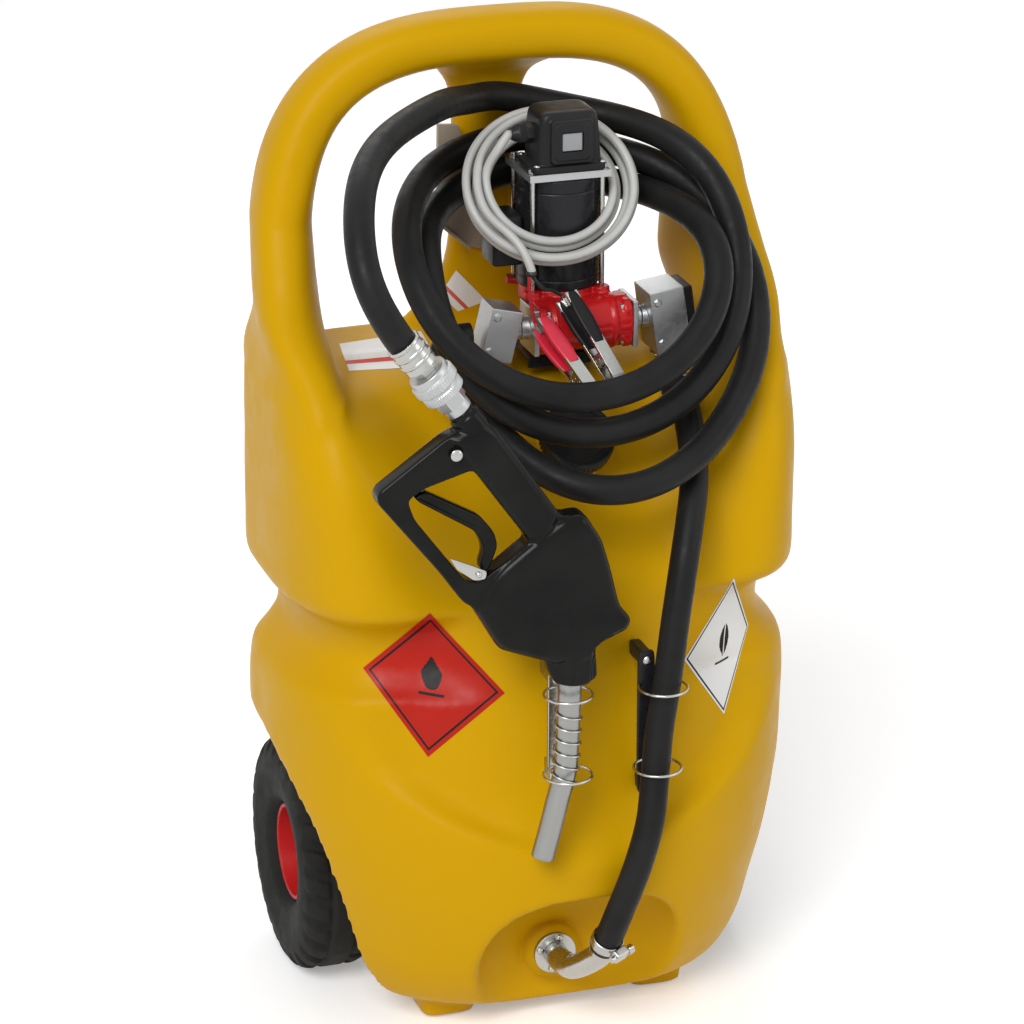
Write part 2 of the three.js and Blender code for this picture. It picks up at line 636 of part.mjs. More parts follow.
corners.forEach(([sideX, sideY], place) => {
  const rodShape = turned(
    [
      [0, padTop + gap], [rodRadius, padTop + gap], [rodRadius, plateTop + gap],
      [nutRadius, plateTop + gap], [nutRadius, plateTop + gap + nutHeight],
      [0, plateTop + gap + nutHeight],
    ],
    6,
  );
  const x = pumpX + sideX * rodX;
  const y = pumpY + sideY * rodY;
  piece(`motor_tie_rod_${place + 1}`, rodShape.translate(x, y, 0), zincSteel);
});

// Rounded box standing on z = 0: rings of rounded rectangles that draw in at the top
function cushion(width, depth, height, corner) {
  const levels = [[0, 0], [height - corner, 0], [height - 0.3 * corner, 0.3], [height, 1]];
  return levels.map(([z, draw]) => {
    const ring = [];
    const inset = draw * corner;
    const halfX = width / 2 - inset;
    const halfY = depth / 2 - inset;
    const bend = corner * (1 - 0.5 * draw);
    for (const [signX, signY, start] of [[1, 1, 0], [-1, 1, 90], [-1, -1, 180], [1, -1, 270]]) {
      for (const step of [0, 45, 90]) {
        const angle = turn(start + step);
        const x = signX * (halfX - bend) + bend * Math.cos(angle);
        ring.push(vec(x, signY * (halfY - bend) + bend * Math.sin(angle), z));
      }
    }
    return ring;
  });
}
const cushionSolid = (width, depth, height, corner) =>
  solid(loft(cushion(width, depth, height, corner)));

// Switch box with its framed rocker, cable gland and relay box
const switchBoxWidth = 64;
const switchBoxDepth = 54;
const switchBoxHeight = 68;
const switchBoxBottom = plateTop + gap;
const switchBoxY = -5;
const switchCorner = 9;
const frameWidth = 46;
const frameHeight = 42;
const frameDepth = 5;
const rockerWidth = 22;
const rockerHeight = 19;
const rockerDepth = 5;
const switchZ = switchBoxBottom + switchBoxHeight / 2;
const switchFaceY = switchBoxY - switchBoxDepth / 2;
const panel = (width, depth, height, y) =>
  box(pumpX - width / 2, pumpX + width / 2, y, y + depth, switchZ - height / 2, switchZ + height / 2);
const rockerPocket = panel(rockerWidth + 2 * gap, frameDepth + overrun, rockerHeight + 2 * gap,
  switchFaceY - frameDepth - overrun + rockerDepth);
const switchBox = cushionSolid(switchBoxWidth, switchBoxDepth, switchBoxHeight, switchCorner)
  .translate([pumpX, switchBoxY, switchBoxBottom])
  .add(panel(frameWidth, 2 * frameDepth, frameHeight, switchFaceY - frameDepth))
  .subtract(rockerPocket);
piece("switch_box", switchBox, blackPlastic);
const rocker = panel(rockerWidth, rockerDepth, rockerHeight, switchFaceY - frameDepth - gap);
piece("switch_rocker", rocker, greyPlastic);
const glandRadius = 10;
const glandLength = 24;
const glandX = pumpX - switchBoxWidth / 2 - gap;
const glandY = -6;
const glandLift = 39.5;
const glandZ = motorTop + topPlateThickness + glandLift;
const glandShape = turned(
  [
    [0, glandX - glandLength], [0.7 * glandRadius, glandX - glandLength],
    [glandRadius, glandX - 0.7 * glandLength], [glandRadius, glandX], [0, glandX],
  ],
  12,
);
piece("cable_gland", alongX(glandShape).translate(0, glandY, glandZ), blackPlastic);
const relayWidth = 33;
const relayDepth = 44;
const relayRise = 102.98;
const relayBottom = seatHeight + relayRise;
const relayHeight = 54;
const relayTo = pumpX - motorRadius - gap;
const relayBox = cushionSolid(relayWidth, relayDepth, relayHeight, relayWidth / 8)
  .translate([relayTo - relayWidth / 2, pumpY, relayBottom]);
piece("relay_box", relayBox, blackPlastic);

// Port plates with their collars, and the two fitting blocks beside them
const plateSize = 50;
const portPlateThickness = 6;
const collarRadius = 12;
const collarLength = 9;
const stubLength = 7;
const portPlate = (from, side) => {
  const to = from + side * portPlateThickness;
  const end = to + side * collarLength;
  const flat = box(Math.min(from, to), Math.max(from, to), portY - plateSize / 2,
    portY + plateSize / 2, portZ - plateSize / 2, portZ + plateSize / 2);
  return flat.add(across(collarRadius, Math.min(from, end), Math.max(from, end), portY, portZ, 16));
};
piece("inlet_flange", portPlate(portTo + gap, 1), castAluminium);
piece("outlet_flange", portPlate(portFrom - gap, -1), castAluminium);

const inletWidth = 38;
const inletDepth = 50;
const inletHeight = 68;
const inletLeanAngle = -8;
const coverWidth = 10;
const outletWidth = 34;
const outletDepth = 40;
const outletHeight = 56;
const outletLeanAngle = 14;
const screwRadius = 4;
const screwRise = 2;
const inletCollarEnd = portTo + gap + portPlateThickness + collarLength;
const outletCollarEnd = portFrom - gap - portPlateThickness - collarLength;
const inletX = inletCollarEnd + gap + stubLength + inletWidth / 2;
const outletX = outletCollarEnd - gap - stubLength - outletWidth / 2;
const leaning = (x, angle) =>
  new THREE.Matrix4()
    .makeTranslation(x, portY, portZ)
    .multiply(new THREE.Matrix4().makeRotationY(turn(angle)));
const screws = (depth, width, height) =>
  [-1, 1].map((side) =>
    solid(alongY(disc(screwRadius, -screwRise, screwRise, 6))
      .translate((-0.3 * width), -depth / 2, side * 0.33 * height)));
const leaningBlock = (width, depth, height, frame) =>
  union(solid(block(width, depth, height)), ...screws(depth, width, height))
    .transform(frame.elements);
const inletFrame = leaning(inletX, inletLeanAngle);
const outletFrame = leaning(outletX, outletLeanAngle);

// Inlet side: block with a black cover, then union, ring nut, elbow and hose
const unionRadius = 8;
const ringNutRadius = 17;
const ringNutHeight = 10;
const nippleRadius = 10;
const inletDropX = 146;
const inletDropRise = 6.98;
const inletDropZ = seatHeight + inletDropRise;
const elbowRadius = 10;
const nutTop = inletDropZ - gap;
const elbowTop = nutTop - ringNutHeight - gap;
const suctionRadius = 15;
const inletBlock = leaningBlock(inletWidth, inletDepth, inletHeight, inletFrame)
  .add(across(collarRadius, inletCollarEnd + gap, inletX, portY, portZ, 16));
const inletCoverShape = block(coverWidth, 0.9 * inletDepth, 0.94 * inletHeight)
  .translate(inletWidth / 2 + coverWidth / 2 + gap, 0, 0);
piece("inlet_block_cover", inletCoverShape.applyMatrix4(inletFrame), blackPlastic);
const drop = (radius, from, to, sides) => upright(radius, inletDropX, portY, from, to, sides);
const inletUnion = union(
  drop(2 * unionRadius, nutTop, portZ - inletHeight / 4, 16),
  drop(ringNutRadius, elbowTop + gap + ringNutHeight / 3, nutTop + gap, 8),
  drop(nippleRadius, elbowTop + gap, nutTop + gap, 16),
).subtract(leaningBlock(inletWidth + gap, inletDepth + gap, inletHeight + 2 * gap, inletFrame));
const unionPieces = inletUnion.decompose();
const lowestFirst = unionPieces.sort((one, two) => one.boundingBox().min[2] - two.boundingBox().min[2]);
piece("inlet_block", inletBlock, castAluminium);
piece("inlet_union", lowestFirst[0], zincSteel);

// Hose routes run from the elbow at the pump to the drain, and from the outlet to the nozzle
const elbowCorner = vec(inletDropX, portY, elbowTop - 1.2 * elbowRadius);
const elbowReach = 26;
const suctionWay = vec(-0.02, -0.94, -0.33).normalize();
const suctionRoute = [
  elbowCorner.clone().addScaledVector(suctionWay, elbowReach).toArray(),
  elbowCorner.clone().addScaledVector(suctionWay, elbowReach + suctionRadius).toArray(),
  [145, -92, 672], [142, -126, 641], [133, -160, 608],
  [118, -190, 576], [105, -210, 541], [91, -224, 481], [80, -232, 419], [70, -237, 366],
  [62, -247, 316], [54, -257, 274], [40, -259, 225], [23, -248, 166], [18, -236, 138], [15, -225, 119],
];
const along = (from, to, distance) =>
  to.clone().sub(from).setLength(distance).add(from);
const suctionStart = vec(...suctionRoute[0]);
const suctionNext = vec(...suctionRoute[1]);
const suctionEnd = vec(...suctionRoute.at(-1));
const suctionBefore = vec(...suctionRoute.at(-2));
piece("suction_hose", tube(route(suctionRoute), suctionRadius, 8, 27), blackRubber);
const rod = (from, to, radius, sides) => {
  const way = to.clone().sub(from);
  const upwards = new THREE.Quaternion().setFromUnitVectors(vec(0, 0, 1), way.clone().normalize());
  const frame = new THREE.Matrix4().compose(from, upwards, vec(1, 1, 1));
  return solid(disc(radius, 0, way.length(), sides).applyMatrix4(frame));
};
const elbowEnd = along(suctionStart, suctionNext, -gap);
const inletElbow = union(
  rod(elbowCorner, vec(inletDropX, portY, elbowTop), elbowRadius, 12),
  solid(new THREE.SphereGeometry(elbowRadius, 12, 8).translate(...elbowCorner)),
  rod(elbowCorner, elbowEnd, elbowRadius, 12),
);
piece("inlet_elbow", inletElbow, castAluminium);

// Drain: boss flange, elbow, and the two hose clamps
const drainFlangeRadius = 23;
const drainFlangeThickness = 5;
const drainPipeRadius = 13;
const drainSag = 1;
const drainFlangeShape = alongY(disc(drainFlangeRadius, 0, drainFlangeThickness, 20));
const drainFlangeY = drainFaceY - gap - drainFlangeThickness;
const drainFlange = solid(drainFlangeShape.translate(drainX, drainFlangeY, drainZ))
  .add(solid(alongY(disc(drainHoleRadius - gap, 0, drainFlangeThickness + 2 * tankWall, 16))
    .translate(drainX, drainFlangeY, drainZ)));
piece("drain_flange", drainFlange, zincSteel);
const drainEnd = along(suctionEnd, suctionBefore, -gap);
const drainLead = along(suctionEnd, suctionBefore, -drainPipeRadius);
const drainStart = [drainX, drainFlangeY - gap, drainZ];
const drainRoute = [
  drainStart, [drainX, drainFlangeY - drainPipeRadius, drainZ],
  [0.55 * drainX, drainFlangeY - 2.6 * drainPipeRadius, drainZ - drainSag],
  drainLead.toArray(), drainEnd.toArray(),
];
piece("drain_elbow", tube(route(drainRoute), drainPipeRadius, 10, 10), zincSteel);
const clampWall = 1.4;
const clampWidth = 12;
const clampScrewRadius = 4;
const clampScrewLength = 34;
function hoseClamp(centre, direction, angle) {
  const bandSides = 14;
  const inner = (suctionRadius + 2 * gap) / Math.cos(Math.PI / bandSides);
  const band = solid(ringShape(inner, inner + clampWall, -clampWidth / 2, clampWidth / 2, bandSides));
  const screwAt = inner + clampScrewRadius;
  const screwShape = solid(alongY(disc(clampScrewRadius, -clampScrewLength / 2, clampScrewLength / 2, 8))
    .translate(screwAt, 0, 0));
  const upwards = new THREE.Quaternion().setFromUnitVectors(vec(0, 0, 1), direction.normalize());
  const spin = new THREE.Matrix4().makeRotationZ(turn(angle));
  const frame = new THREE.Matrix4().compose(centre, upwards, vec(1, 1, 1)).multiply(spin);
  return band.add(screwShape).transform(frame.elements);
}
const upperClampAt = along(suctionStart, suctionNext, 0.6 * clampWidth);
const lowerClampAt = along(suctionEnd, suctionBefore, clampWidth);
const upperWay = suctionNext.clone().sub(suctionStart);
const lowerWay = suctionBefore.clone().sub(suctionEnd);
piece("suction_clamp_upper", hoseClamp(upperClampAt, upperWay, 90), zincSteel);
piece("suction_clamp_lower", hoseClamp(lowerClampAt, lowerWay, 60), zincSteel);

// Place of the nozzle: the foot of its lever, and the span that its outlines are shares of
const nozzleSpan = 300;
const nozzleX = -132;
const nozzleY = -frontReach;
const nozzleDrop = 131.02;
const nozzleZ = seatHeight - nozzleDrop;
const onNozzle = ([x, z]) => [nozzleX + x * nozzleSpan, nozzleZ + z * nozzleSpan];
const nozzleOutline = (shares) => shares.map(onNozzle);

// Wire-ring holders on the front of the tank, for the spout and for the suction hose
const ringRadius = 25;
const ringWire = 1.6;
const holderWidth = 18;
const holderThickness = 5;
const holderPad = 40;
const nozzleHolderDepth = 42;
const hoseHolderDepth = 44;
const holderSolid = (x, y, from, to, rings) => {
  const ringAt = ([ringX, ringY, ringZ]) =>
    solid(new THREE.TorusGeometry(ringRadius, ringWire, 5, 16).translate(ringX, ringY, ringZ));
  const stalk = ([ringX, ringY, ringZ]) =>
    box(x - ringWire, x + ringWire, ringY + Math.sqrt(ringRadius ** 2 - (x - ringX) ** 2), y,
      ringZ - ringWire, ringZ + ringWire);
  const bar = box(x - holderWidth / 2, x + holderWidth / 2, y - holderThickness, y, from, to);
  const pads = [from, to - holderWidth].map((bottom) =>
    box(x - holderWidth / 3, x + holderWidth / 3, y - holderThickness, y + holderPad,
      bottom, bottom + holderWidth));
  return union(bar, ...pads, ...rings.flatMap((ring) => [ringAt(ring), stalk(ring)]));
};
const tankFront = tankShell.translate([0, -gap, 0]);
const inFront = (body) => {
  const parts = body.subtract(tankFront).subtract(hollow).decompose();
  return parts.sort((one, two) => two.volume() - one.volume())[0];
};
const nozzleHolderShares = [[0.31666667, -0.86], [0.31666667, -0.45333333]];
const nozzleRingShares = [[0.31666667, -0.49333333], [0.31666667, -0.79]];
const [nozzleHolderLow, nozzleHolderHigh] = nozzleOutline(nozzleHolderShares);
const nozzleRings = nozzleOutline(nozzleRingShares).map(([x, z]) => [x, nozzleY, z]);
const nozzleHolder = holderSolid(
  nozzleHolderLow[0], nozzleY + nozzleHolderDepth, nozzleHolderLow[1], nozzleHolderHigh[1], nozzleRings);
piece("nozzle_holder", inFront(nozzleHolder), zincSteel);
const hoseHolderX = 62;
const hoseHolderLow = 289;
const hoseHolderHigh = 448;
const upperRingX = 75;
const upperRingDepth = 24;
const upperRingZ = 412;
const lowerRingX = 67;
const lowerRingDepth = 17;
const lowerRingZ = 326;
const hoseRings = [
  [upperRingX, nozzleY + upperRingDepth, upperRingZ],
  [lowerRingX, nozzleY + lowerRingDepth, lowerRingZ],
];
const hoseHolder = holderSolid(
  hoseHolderX, nozzleY + hoseHolderDepth, hoseHolderLow, hoseHolderHigh, hoseRings);
piece("hose_holder", inFront(hoseHolder), blackPaint);

// Hose hook on the web
const hookThickness = 6.4;
const hookLipDepth = 24;
const hookY = webMiddleY - 0.96 * webHalfDepth - gap;
const hookX = -34;
const hookRise = 154.98;
const hookZ = seatHeight + hookRise;
const hookSpan = 140;
// Outlines in shares of the hook's span, measured from its middle
const hookShares = [
  [-0.200, -0.257], [0.029, -0.457], [0.186, -0.500], [0.186, 0.014], [0.071, 0.250],
  [-0.029, 0.500], [-0.186, 0.514],
];
const hookLipShares = [[-0.200, -0.257], [0.029, -0.457], [0.029, -0.430], [-0.186, -0.235]];
const onHook = (shares) => shares.map(([x, z]) => [hookX + x * hookSpan, hookZ + z * hookSpan]);
const hook = union(
  solid(plate(onHook(hookShares), hookY - hookThickness, hookY)),
  solid(plate(onHook(hookLipShares), hookY - hookLipDepth, hookY)),
);
piece("hose_hook", hook, beigeSteel);

// Delivery hose: its coil hangs in a plane that leans back over the pump
const hoseRadius = 15.5;
const coilRadius = 175;
const coilBaseY = -132;
const coilBaseRise = 4.98;
const coilBaseZ = seatHeight + coilBaseRise;
const coilBase = vec(0, coilBaseY, coilBaseZ);
const coilX = 20;
const coilRise = 125;
const planeLeanAngle = 58.6;
const planeUp = vec(0, Math.cos(turn(planeLeanAngle)), Math.sin(turn(planeLeanAngle)));
const planeOut = vec(0, -Math.sin(turn(planeLeanAngle)), Math.cos(turn(planeLeanAngle)));
const onPlane = (x, rise, out) =>
  coilBase.clone().add(vec(x, 0, 0)).addScaledVector(planeUp, rise).addScaledVector(planeOut, out);

// Rows of angle, then coil radius share and offset share out of the plane
const coilRows = [
  [236, 0.994, -0.200], [270, 1.366, 0.057], [315, 1.303, -0.029], [360, 1.206, -0.160],
  [405, 1.012, -0.290], [423, 0.985, -0.510], [446, 0.975, -0.475], [472, 0.975, -0.510],
  [489, 0.975, -0.340], [540, 0.971, 0.189], [630, 0.829, 0.195], [720, 0.920, 0.189],
  [745, 0.885, -0.120], [768, 0.845, -0.480], [782, 0.815, -0.630], [808, 0.795, -0.560],
  [836, 0.792, -0.610],
  [857, 0.800, -0.450], [900, 0.823, 0.000], [990, 1.006, 0.000], [1080, 1.097, 0.020],
  [1112, 1.130, 0.020], [1130, 1.138, -0.180], [1148, 1.145, -0.405], [1166, 1.155, -0.365],
];

// Smooth value between table rows
function rowValue(rows, column, at) {
  const last = rows.length - 2;
  const found = rows.findIndex((row, place) => place > 0 && at <= row[0]) - 1;
  const place = Math.min(Math.max(found, 0), last);
  const [start, end] = [rows[place], rows[place + 1]];
  const slope = (left, right) => (right[column] - left[column]) / (right[0] - left[0]);
  const before = slope(rows[Math.max(place - 1, 0)], end);
  const after = slope(start, rows[Math.min(place + 2, last + 1)]);
  const width = end[0] - start[0];
  const t = (at - start[0]) / width;
  const bend = t * (1 - t) * width;
  return start[column] + (end[column] - start[column]) * t * t * (3 - 2 * t)
    + bend * ((1 - t) * before - t * after);
}
const stepsPerLoop = 24;
function coilPoints(from, to, place) {
  const steps = Math.round(((to - from) * stepsPerLoop) / 360);
  const points = [];
  for (let step = 0; step <= steps; step += 1) {
    points.push(place(from + ((to - from) * step) / steps));
  }
  return points;
}

// Straight stretches of one diameter at both ends of a coil
function straightEnds(points, radius) {
  const way = (from, to, share) => along(to, from, -2 * radius * share);
  const [first, second] = points;
  const [last, before] = [points.at(-1), points.at(-2)];
  return [
    way(second, first, 1), way(second, first, 0.5), ...points,
    way(before, last, 0.5), way(before, last, 1),
  ];
}

// Least clear distance between the loops of a coil, measured on its points
function leastGap(points, radius) {
  let least = Infinity;
  points.forEach((point, place) => {
    for (let other = place + stepsPerLoop / 3; other + 1 < points.length; other += 1) {
      const line = new THREE.Line3(points[other], points[other + 1]);
      const near = line.closestPointToPoint(point, true, vec());
      least = Math.min(least, near.distanceTo(point) - 2 * radius);
    }
  });
  return least;
}
const curveOf = (points) => new THREE.CatmullRomCurve3(points, false, "centripetal");
const coilTube = (points, radius, sides) => tube(curveOf(points), radius, sides, points.length - 1);
const hosePlace = (angle) => {
  const radius = coilRadius * rowValue(coilRows, 1, angle);
  const out = coilRadius * rowValue(coilRows, 2, angle);
  return onPlane(coilX + radius * Math.cos(turn(angle)), coilRise + radius * Math.sin(turn(angle)), out);
};
const hoseLoops = straightEnds(coilPoints(coilRows[0][0], coilRows.at(-1)[0], hosePlace), hoseRadius);
console.log("delivery_hose_coil least gap", leastGap(hoseLoops, hoseRadius).toFixed(2));
piece("delivery_hose_coil", coilTube(hoseLoops, hoseRadius, 6), blackRubber);

// Outlet side: leaning block, bent outlet pipe, and the lead of the hose into its coil
const outletPipeRadius = 14;
const bendRadius = 26;
const outletBlock = leaningBlock(outletWidth, outletDepth, outletHeight, outletFrame)
  .add(across(collarRadius, outletX, outletCollarEnd - gap, portY, portZ, 16));
piece("outlet_block", outletBlock, castAluminium);
const bendX = -44;
const bendRise = 80;
const bendOut = -66;
const bendDrop = 9.6;
const bendTurnAngle = 80;
const bendPoints = [onPlane(bendX - bendRadius, bendRise, bendOut)];
for (let angle = 0; angle <= bendTurnAngle; angle += bendTurnAngle / 8) {
  const x = bendX - 1.4 * bendRadius - bendRadius * Math.sin(turn(angle));
  const rise = bendRise - bendRadius + bendRadius * Math.cos(turn(angle));
  bendPoints.push(onPlane(x, rise, bendOut + (bendDrop * angle) / bendTurnAngle));
}
const bendLast = bendPoints.at(-1);
bendPoints.push(along(bendLast, bendPoints.at(-2), -outletPipeRadius / 2));
const bendTube = solid(tube(curveOf(bendPoints), outletPipeRadius, 10, 12));
const outletBend = bendTube.subtract(
  leaningBlock(outletWidth + gap, outletDepth + gap, outletHeight + gap, outletFrame)).decompose()
  .sort((one, two) => two.volume() - one.volume())[0];
piece("outlet_elbow", outletBend, blackPlastic);
const bendEnd = bendPoints.at(-1);
const coilFirst = hoseLoops[0];
const leadPoints = [
  along(bendEnd, bendPoints.at(-2), -gap), along(bendEnd, bendPoints.at(-2), -hoseRadius),
  along(coilFirst, hoseLoops[1], -hoseRadius), along(coilFirst, hoseLoops[1], -gap),
];
piece("delivery_hose_lead", tube(curveOf(leadPoints), hoseRadius, 8, 8), blackRubber);

// Nozzle: outlines in shares of its span, measured from the foot of the lever
const nozzleShares = [
  [-0.127, 0.487], [0.000, 0.543], [0.047, 0.513], [0.280, 0.170], [0.357, 0.173], [0.383, 0.137],
  [0.423, 0.070], [0.453, -0.030], [0.487, -0.173], [0.530, -0.227], [0.517, -0.263], [0.403,
  -0.310], [0.410, -0.423], [0.393, -0.440], [0.263, -0.440], [0.240, -0.400], [0.223, -0.347],
  [0.060, -0.283], [-0.033, -0.120], [-0.067, -0.097], [-0.147, 0.017], [-0.357, 0.283], [-0.360,
  0.310], [-0.350, 0.330]
];
const windowShares = [
  [-0.197, 0.323], [-0.030, 0.370], [0.167, 0.093], [0.053, 0.010], [-0.013, -0.033], [-0.060,
  -0.017], [-0.127, 0.073], [-0.233, 0.217], [-0.257, 0.287]
];
const gripShares = [
  [-0.127, 0.487], [0.000, 0.543], [0.047, 0.513], [0.280, 0.170], [0.207, 0.047], [0.160, 0.093],
  [-0.033, 0.370]
];
const headShares = [
  [0.167, 0.093], [0.280, 0.170], [0.357, 0.173], [0.383, 0.137], [0.423, 0.070], [0.453, -0.030],
  [0.487, -0.173], [0.530, -0.227], [0.517, -0.263], [0.403, -0.310], [0.410, -0.423], [0.393,
  -0.440], [0.263, -0.440], [0.240, -0.400], [0.223, -0.347], [0.060, -0.283], [-0.033, -0.120],
  [0.053, 0.007]
];
const leverShares = [
  [-0.230, 0.290], [-0.193, 0.307], [0.000, 0.197], [0.047, 0.137], [0.060, 0.087], [0.043,
  0.040], [0.027, 0.003], [0.000, 0.003], [-0.003, 0.030], [0.010, 0.067], [0.003, 0.103],
  [-0.020, 0.147], [-0.213, 0.270]
];
const latchShares = [
  [-0.117, 0.073], [-0.040, 0.037], [0.013, 0.010], [0.007, -0.017], [-0.033, -0.017], [-0.093,
  0.030]
];
const leverCheekShares = [
  [-0.277, 0.307], [-0.210, 0.353], [-0.183, 0.307], [-0.210, 0.253], [-0.257, 0.247],
];
const latchCheekShares = [
  [-0.040, 0.020], [0.007, 0.023], [0.027, -0.033], [-0.053, -0.053],
];
const guardHalf = 12;
const gripHalf = 17;
const headHalf = 19;
const leverHalf = 8;
const cheekThickness = 3;
const pinRadius = 2.5;
const inNozzle = (shares, half, holes = []) =>
  solid(plate(nozzleOutline(shares), nozzleY - half, nozzleY + half, holes.map(nozzleOutline)));
const pin = (radius, place, front, back) =>
  solid(alongY(disc(radius, front, back, 10)).translate(place[0], 0, place[1]));
const pivotShares = [[-0.21666667, 0.28666667], [-0.01666667, 0.00333333]];
const [leverPivot, latchPivot] = nozzleOutline(pivotShares);
const latchFront = nozzleY - guardHalf - gap - cheekThickness;

// Swivel line: the hose ferrule and the swivel share one slanted axis
const ferruleLength = 31;
const ferruleNeck = 9;
const swivelLength = 55;
const swivelFrom = ferruleLength + ferruleNeck;
const swivelTo = swivelFrom + swivelLength;
const stubShares = [-0.06634977, 0.57277921];
const [stubX, stubZ] = onNozzle(stubShares);
const swivelLeanAngle = 142.3;
const swivelX = stubX - swivelTo * Math.sin(turn(swivelLeanAngle));
const swivelZ = stubZ - swivelTo * Math.cos(turn(swivelLeanAngle));
const swivelFrame = new THREE.Matrix4()
  .makeTranslation(swivelX, nozzleY, swivelZ)
  .multiply(new THREE.Matrix4().makeRotationY(turn(swivelLeanAngle)));
const ferruleRadius = 18;
const inletRadius = 14;
const slanted = (profile, sides) => turned(profile, sides).applyMatrix4(swivelFrame);
const ferruleShape = slanted(
  [
    [0, 0], [ferruleRadius, 0], [ferruleRadius, ferruleLength],
    [0.66 * ferruleRadius, ferruleLength], [0.66 * ferruleRadius, swivelFrom], [0, swivelFrom],
  ],
  12,
);
piece("hose_ferrule", ferruleShape, zincSteel);
const swivelShape = slanted(
  [
    [0, swivelFrom + gap], [1.5 * inletRadius, swivelFrom + gap],
    [1.5 * inletRadius, swivelFrom + 0.15 * swivelLength],
    [1.75 * inletRadius, swivelFrom + 0.15 * swivelLength],
    [1.75 * inletRadius, swivelFrom + 0.5 * swivelLength],
    [1.5 * inletRadius, swivelFrom + 0.6 * swivelLength],
    [inletRadius, swivelFrom + 0.6 * swivelLength], [inletRadius, swivelTo], [0, swivelTo],
  ],
  16,
);
piece("swivel_nut", swivelShape, castAluminium);
const inletStub = solid(slanted(
  [[0, swivelTo + gap], [inletRadius, swivelTo + gap], [inletRadius, swivelTo + 2 * inletRadius],
    [0, swivelTo + 2 * inletRadius]],
  12,
));
const cheek = (shares, front) =>
  solid(plate(nozzleOutline(shares), front, front + cheekThickness));
const nozzleBody = union(
  inNozzle(nozzleShares, guardHalf, [windowShares]),
  inNozzle(gripShares, gripHalf),
  inNozzle(headShares, headHalf),
  inletStub,
  cheek(leverCheekShares, nozzleY - guardHalf),
  cheek(leverCheekShares, nozzleY + guardHalf - cheekThickness),
  cheek(latchCheekShares, nozzleY - guardHalf),
  pin(pinRadius, leverPivot, nozzleY - guardHalf + gap, nozzleY + guardHalf - gap),
  pin(pinRadius, latchPivot, latchFront - cheekThickness, nozzleY - guardHalf + cheekThickness),
);
piece("nozzle_body", nozzleBody, blackPlastic);
const nozzleLever = union(
  inNozzle(leverShares, leverHalf),
  pin(2.2 * pinRadius, leverPivot, nozzleY - leverHalf, nozzleY + leverHalf),
).subtract(pin(pinRadius + gap, leverPivot, nozzleY - overrun, nozzleY + overrun));
piece("nozzle_lever", nozzleLever, blackPlastic);
const latchBack = nozzleY - guardHalf - gap;
const latch = solid(plate(nozzleOutline(latchShares), latchFront, latchBack))
  .subtract(pin(pinRadius + gap, latchPivot, latchFront - overrun, latchBack + overrun));
piece("lever_latch", latch, zincSteel);

// Spout with its wire spring
const spoutRadius = 12.3;
const spoutWall = 1.6;
const spoutShares = [
  [0.32166667, -0.441], [0.32166667, -0.47333333], [0.31833333, -0.55333333], [0.31333333, -0.68],
  [0.30666667, -0.77333333], [0.28, -0.88], [0.25333333, -0.98666667], [0.22666667, -1.08666667],
];
const boreEndShares = [0.21, -1.15333333];
const inSpout = (shares) => nozzleOutline(shares).map(([x, z]) => [x, nozzleY, z]);
const spoutRoute = inSpout(spoutShares);
const boreRoute = inSpout([...spoutShares.slice(1), boreEndShares]);
const spout = solid(tube(route(spoutRoute), spoutRadius, 10, 8))
  .subtract(solid(tube(route(boreRoute), spoutRadius - spoutWall, 10, 8)));
piece("nozzle_spout", spout, castAluminium);
const springWire = 1.1;
const springTurns = 6;
const springStart = 0.14;
const springEnd = 0.56;
const springSteps = 8;
const spoutCurve = route(spoutRoute);
const springPoints = [];
for (let step = 0; step <= springTurns * springSteps; step += 1) {
  const share = step / (springTurns * springSteps);
  const at = springStart + (springEnd - springStart) * share;
  const middle = spoutCurve.getPointAt(at);
  const down = spoutCurve.getTangentAt(at);
  const outward = vec(-down.z, 0, down.x);
  const angle = 2 * Math.PI * springTurns * share;
  const radius = (spoutRadius + gap) / Math.cos(Math.PI / springSteps) + springWire + gap;
  springPoints.push(middle.addScaledVector(outward, radius * Math.cos(angle))
    .add(vec(0, radius * Math.sin(angle), 0)));
}
const springTube = tube(curveOf(springPoints), springWire, 5, springTurns * springSteps);
piece("spout_spring", springTube, zincSteel);

// End of the delivery hose, from the coil round to the ferrule
const swivelWay = vec(0, 0, 1).transformDirection(swivelFrame);
const ferruleAt = vec(swivelX, nozzleY, swivelZ);
const coilLast = hoseLoops.at(-1);
const coilBefore = hoseLoops.at(-2);
const endRoute = [
  [-30, 72, 968], [-70, 26, 982], [-108, -18, 986], [-144, -50, 982], [-178, -88, 977],
  [-210, -138, 966], [-233, -190, 946], [-244, -232, 908], [-240, -252, 873],
];
const endPoints = [
  along(coilLast, coilBefore, -gap), along(coilLast, coilBefore, -hoseRadius),
  ...endRoute.map((p) => vec(...p)),
  ferruleAt.clone().addScaledVector(swivelWay, -hoseRadius),
  ferruleAt.clone().addScaledVector(swivelWay, -gap),
];
piece("delivery_hose_end", tube(curveOf(endPoints), hoseRadius, 8, 22), blackRubber);

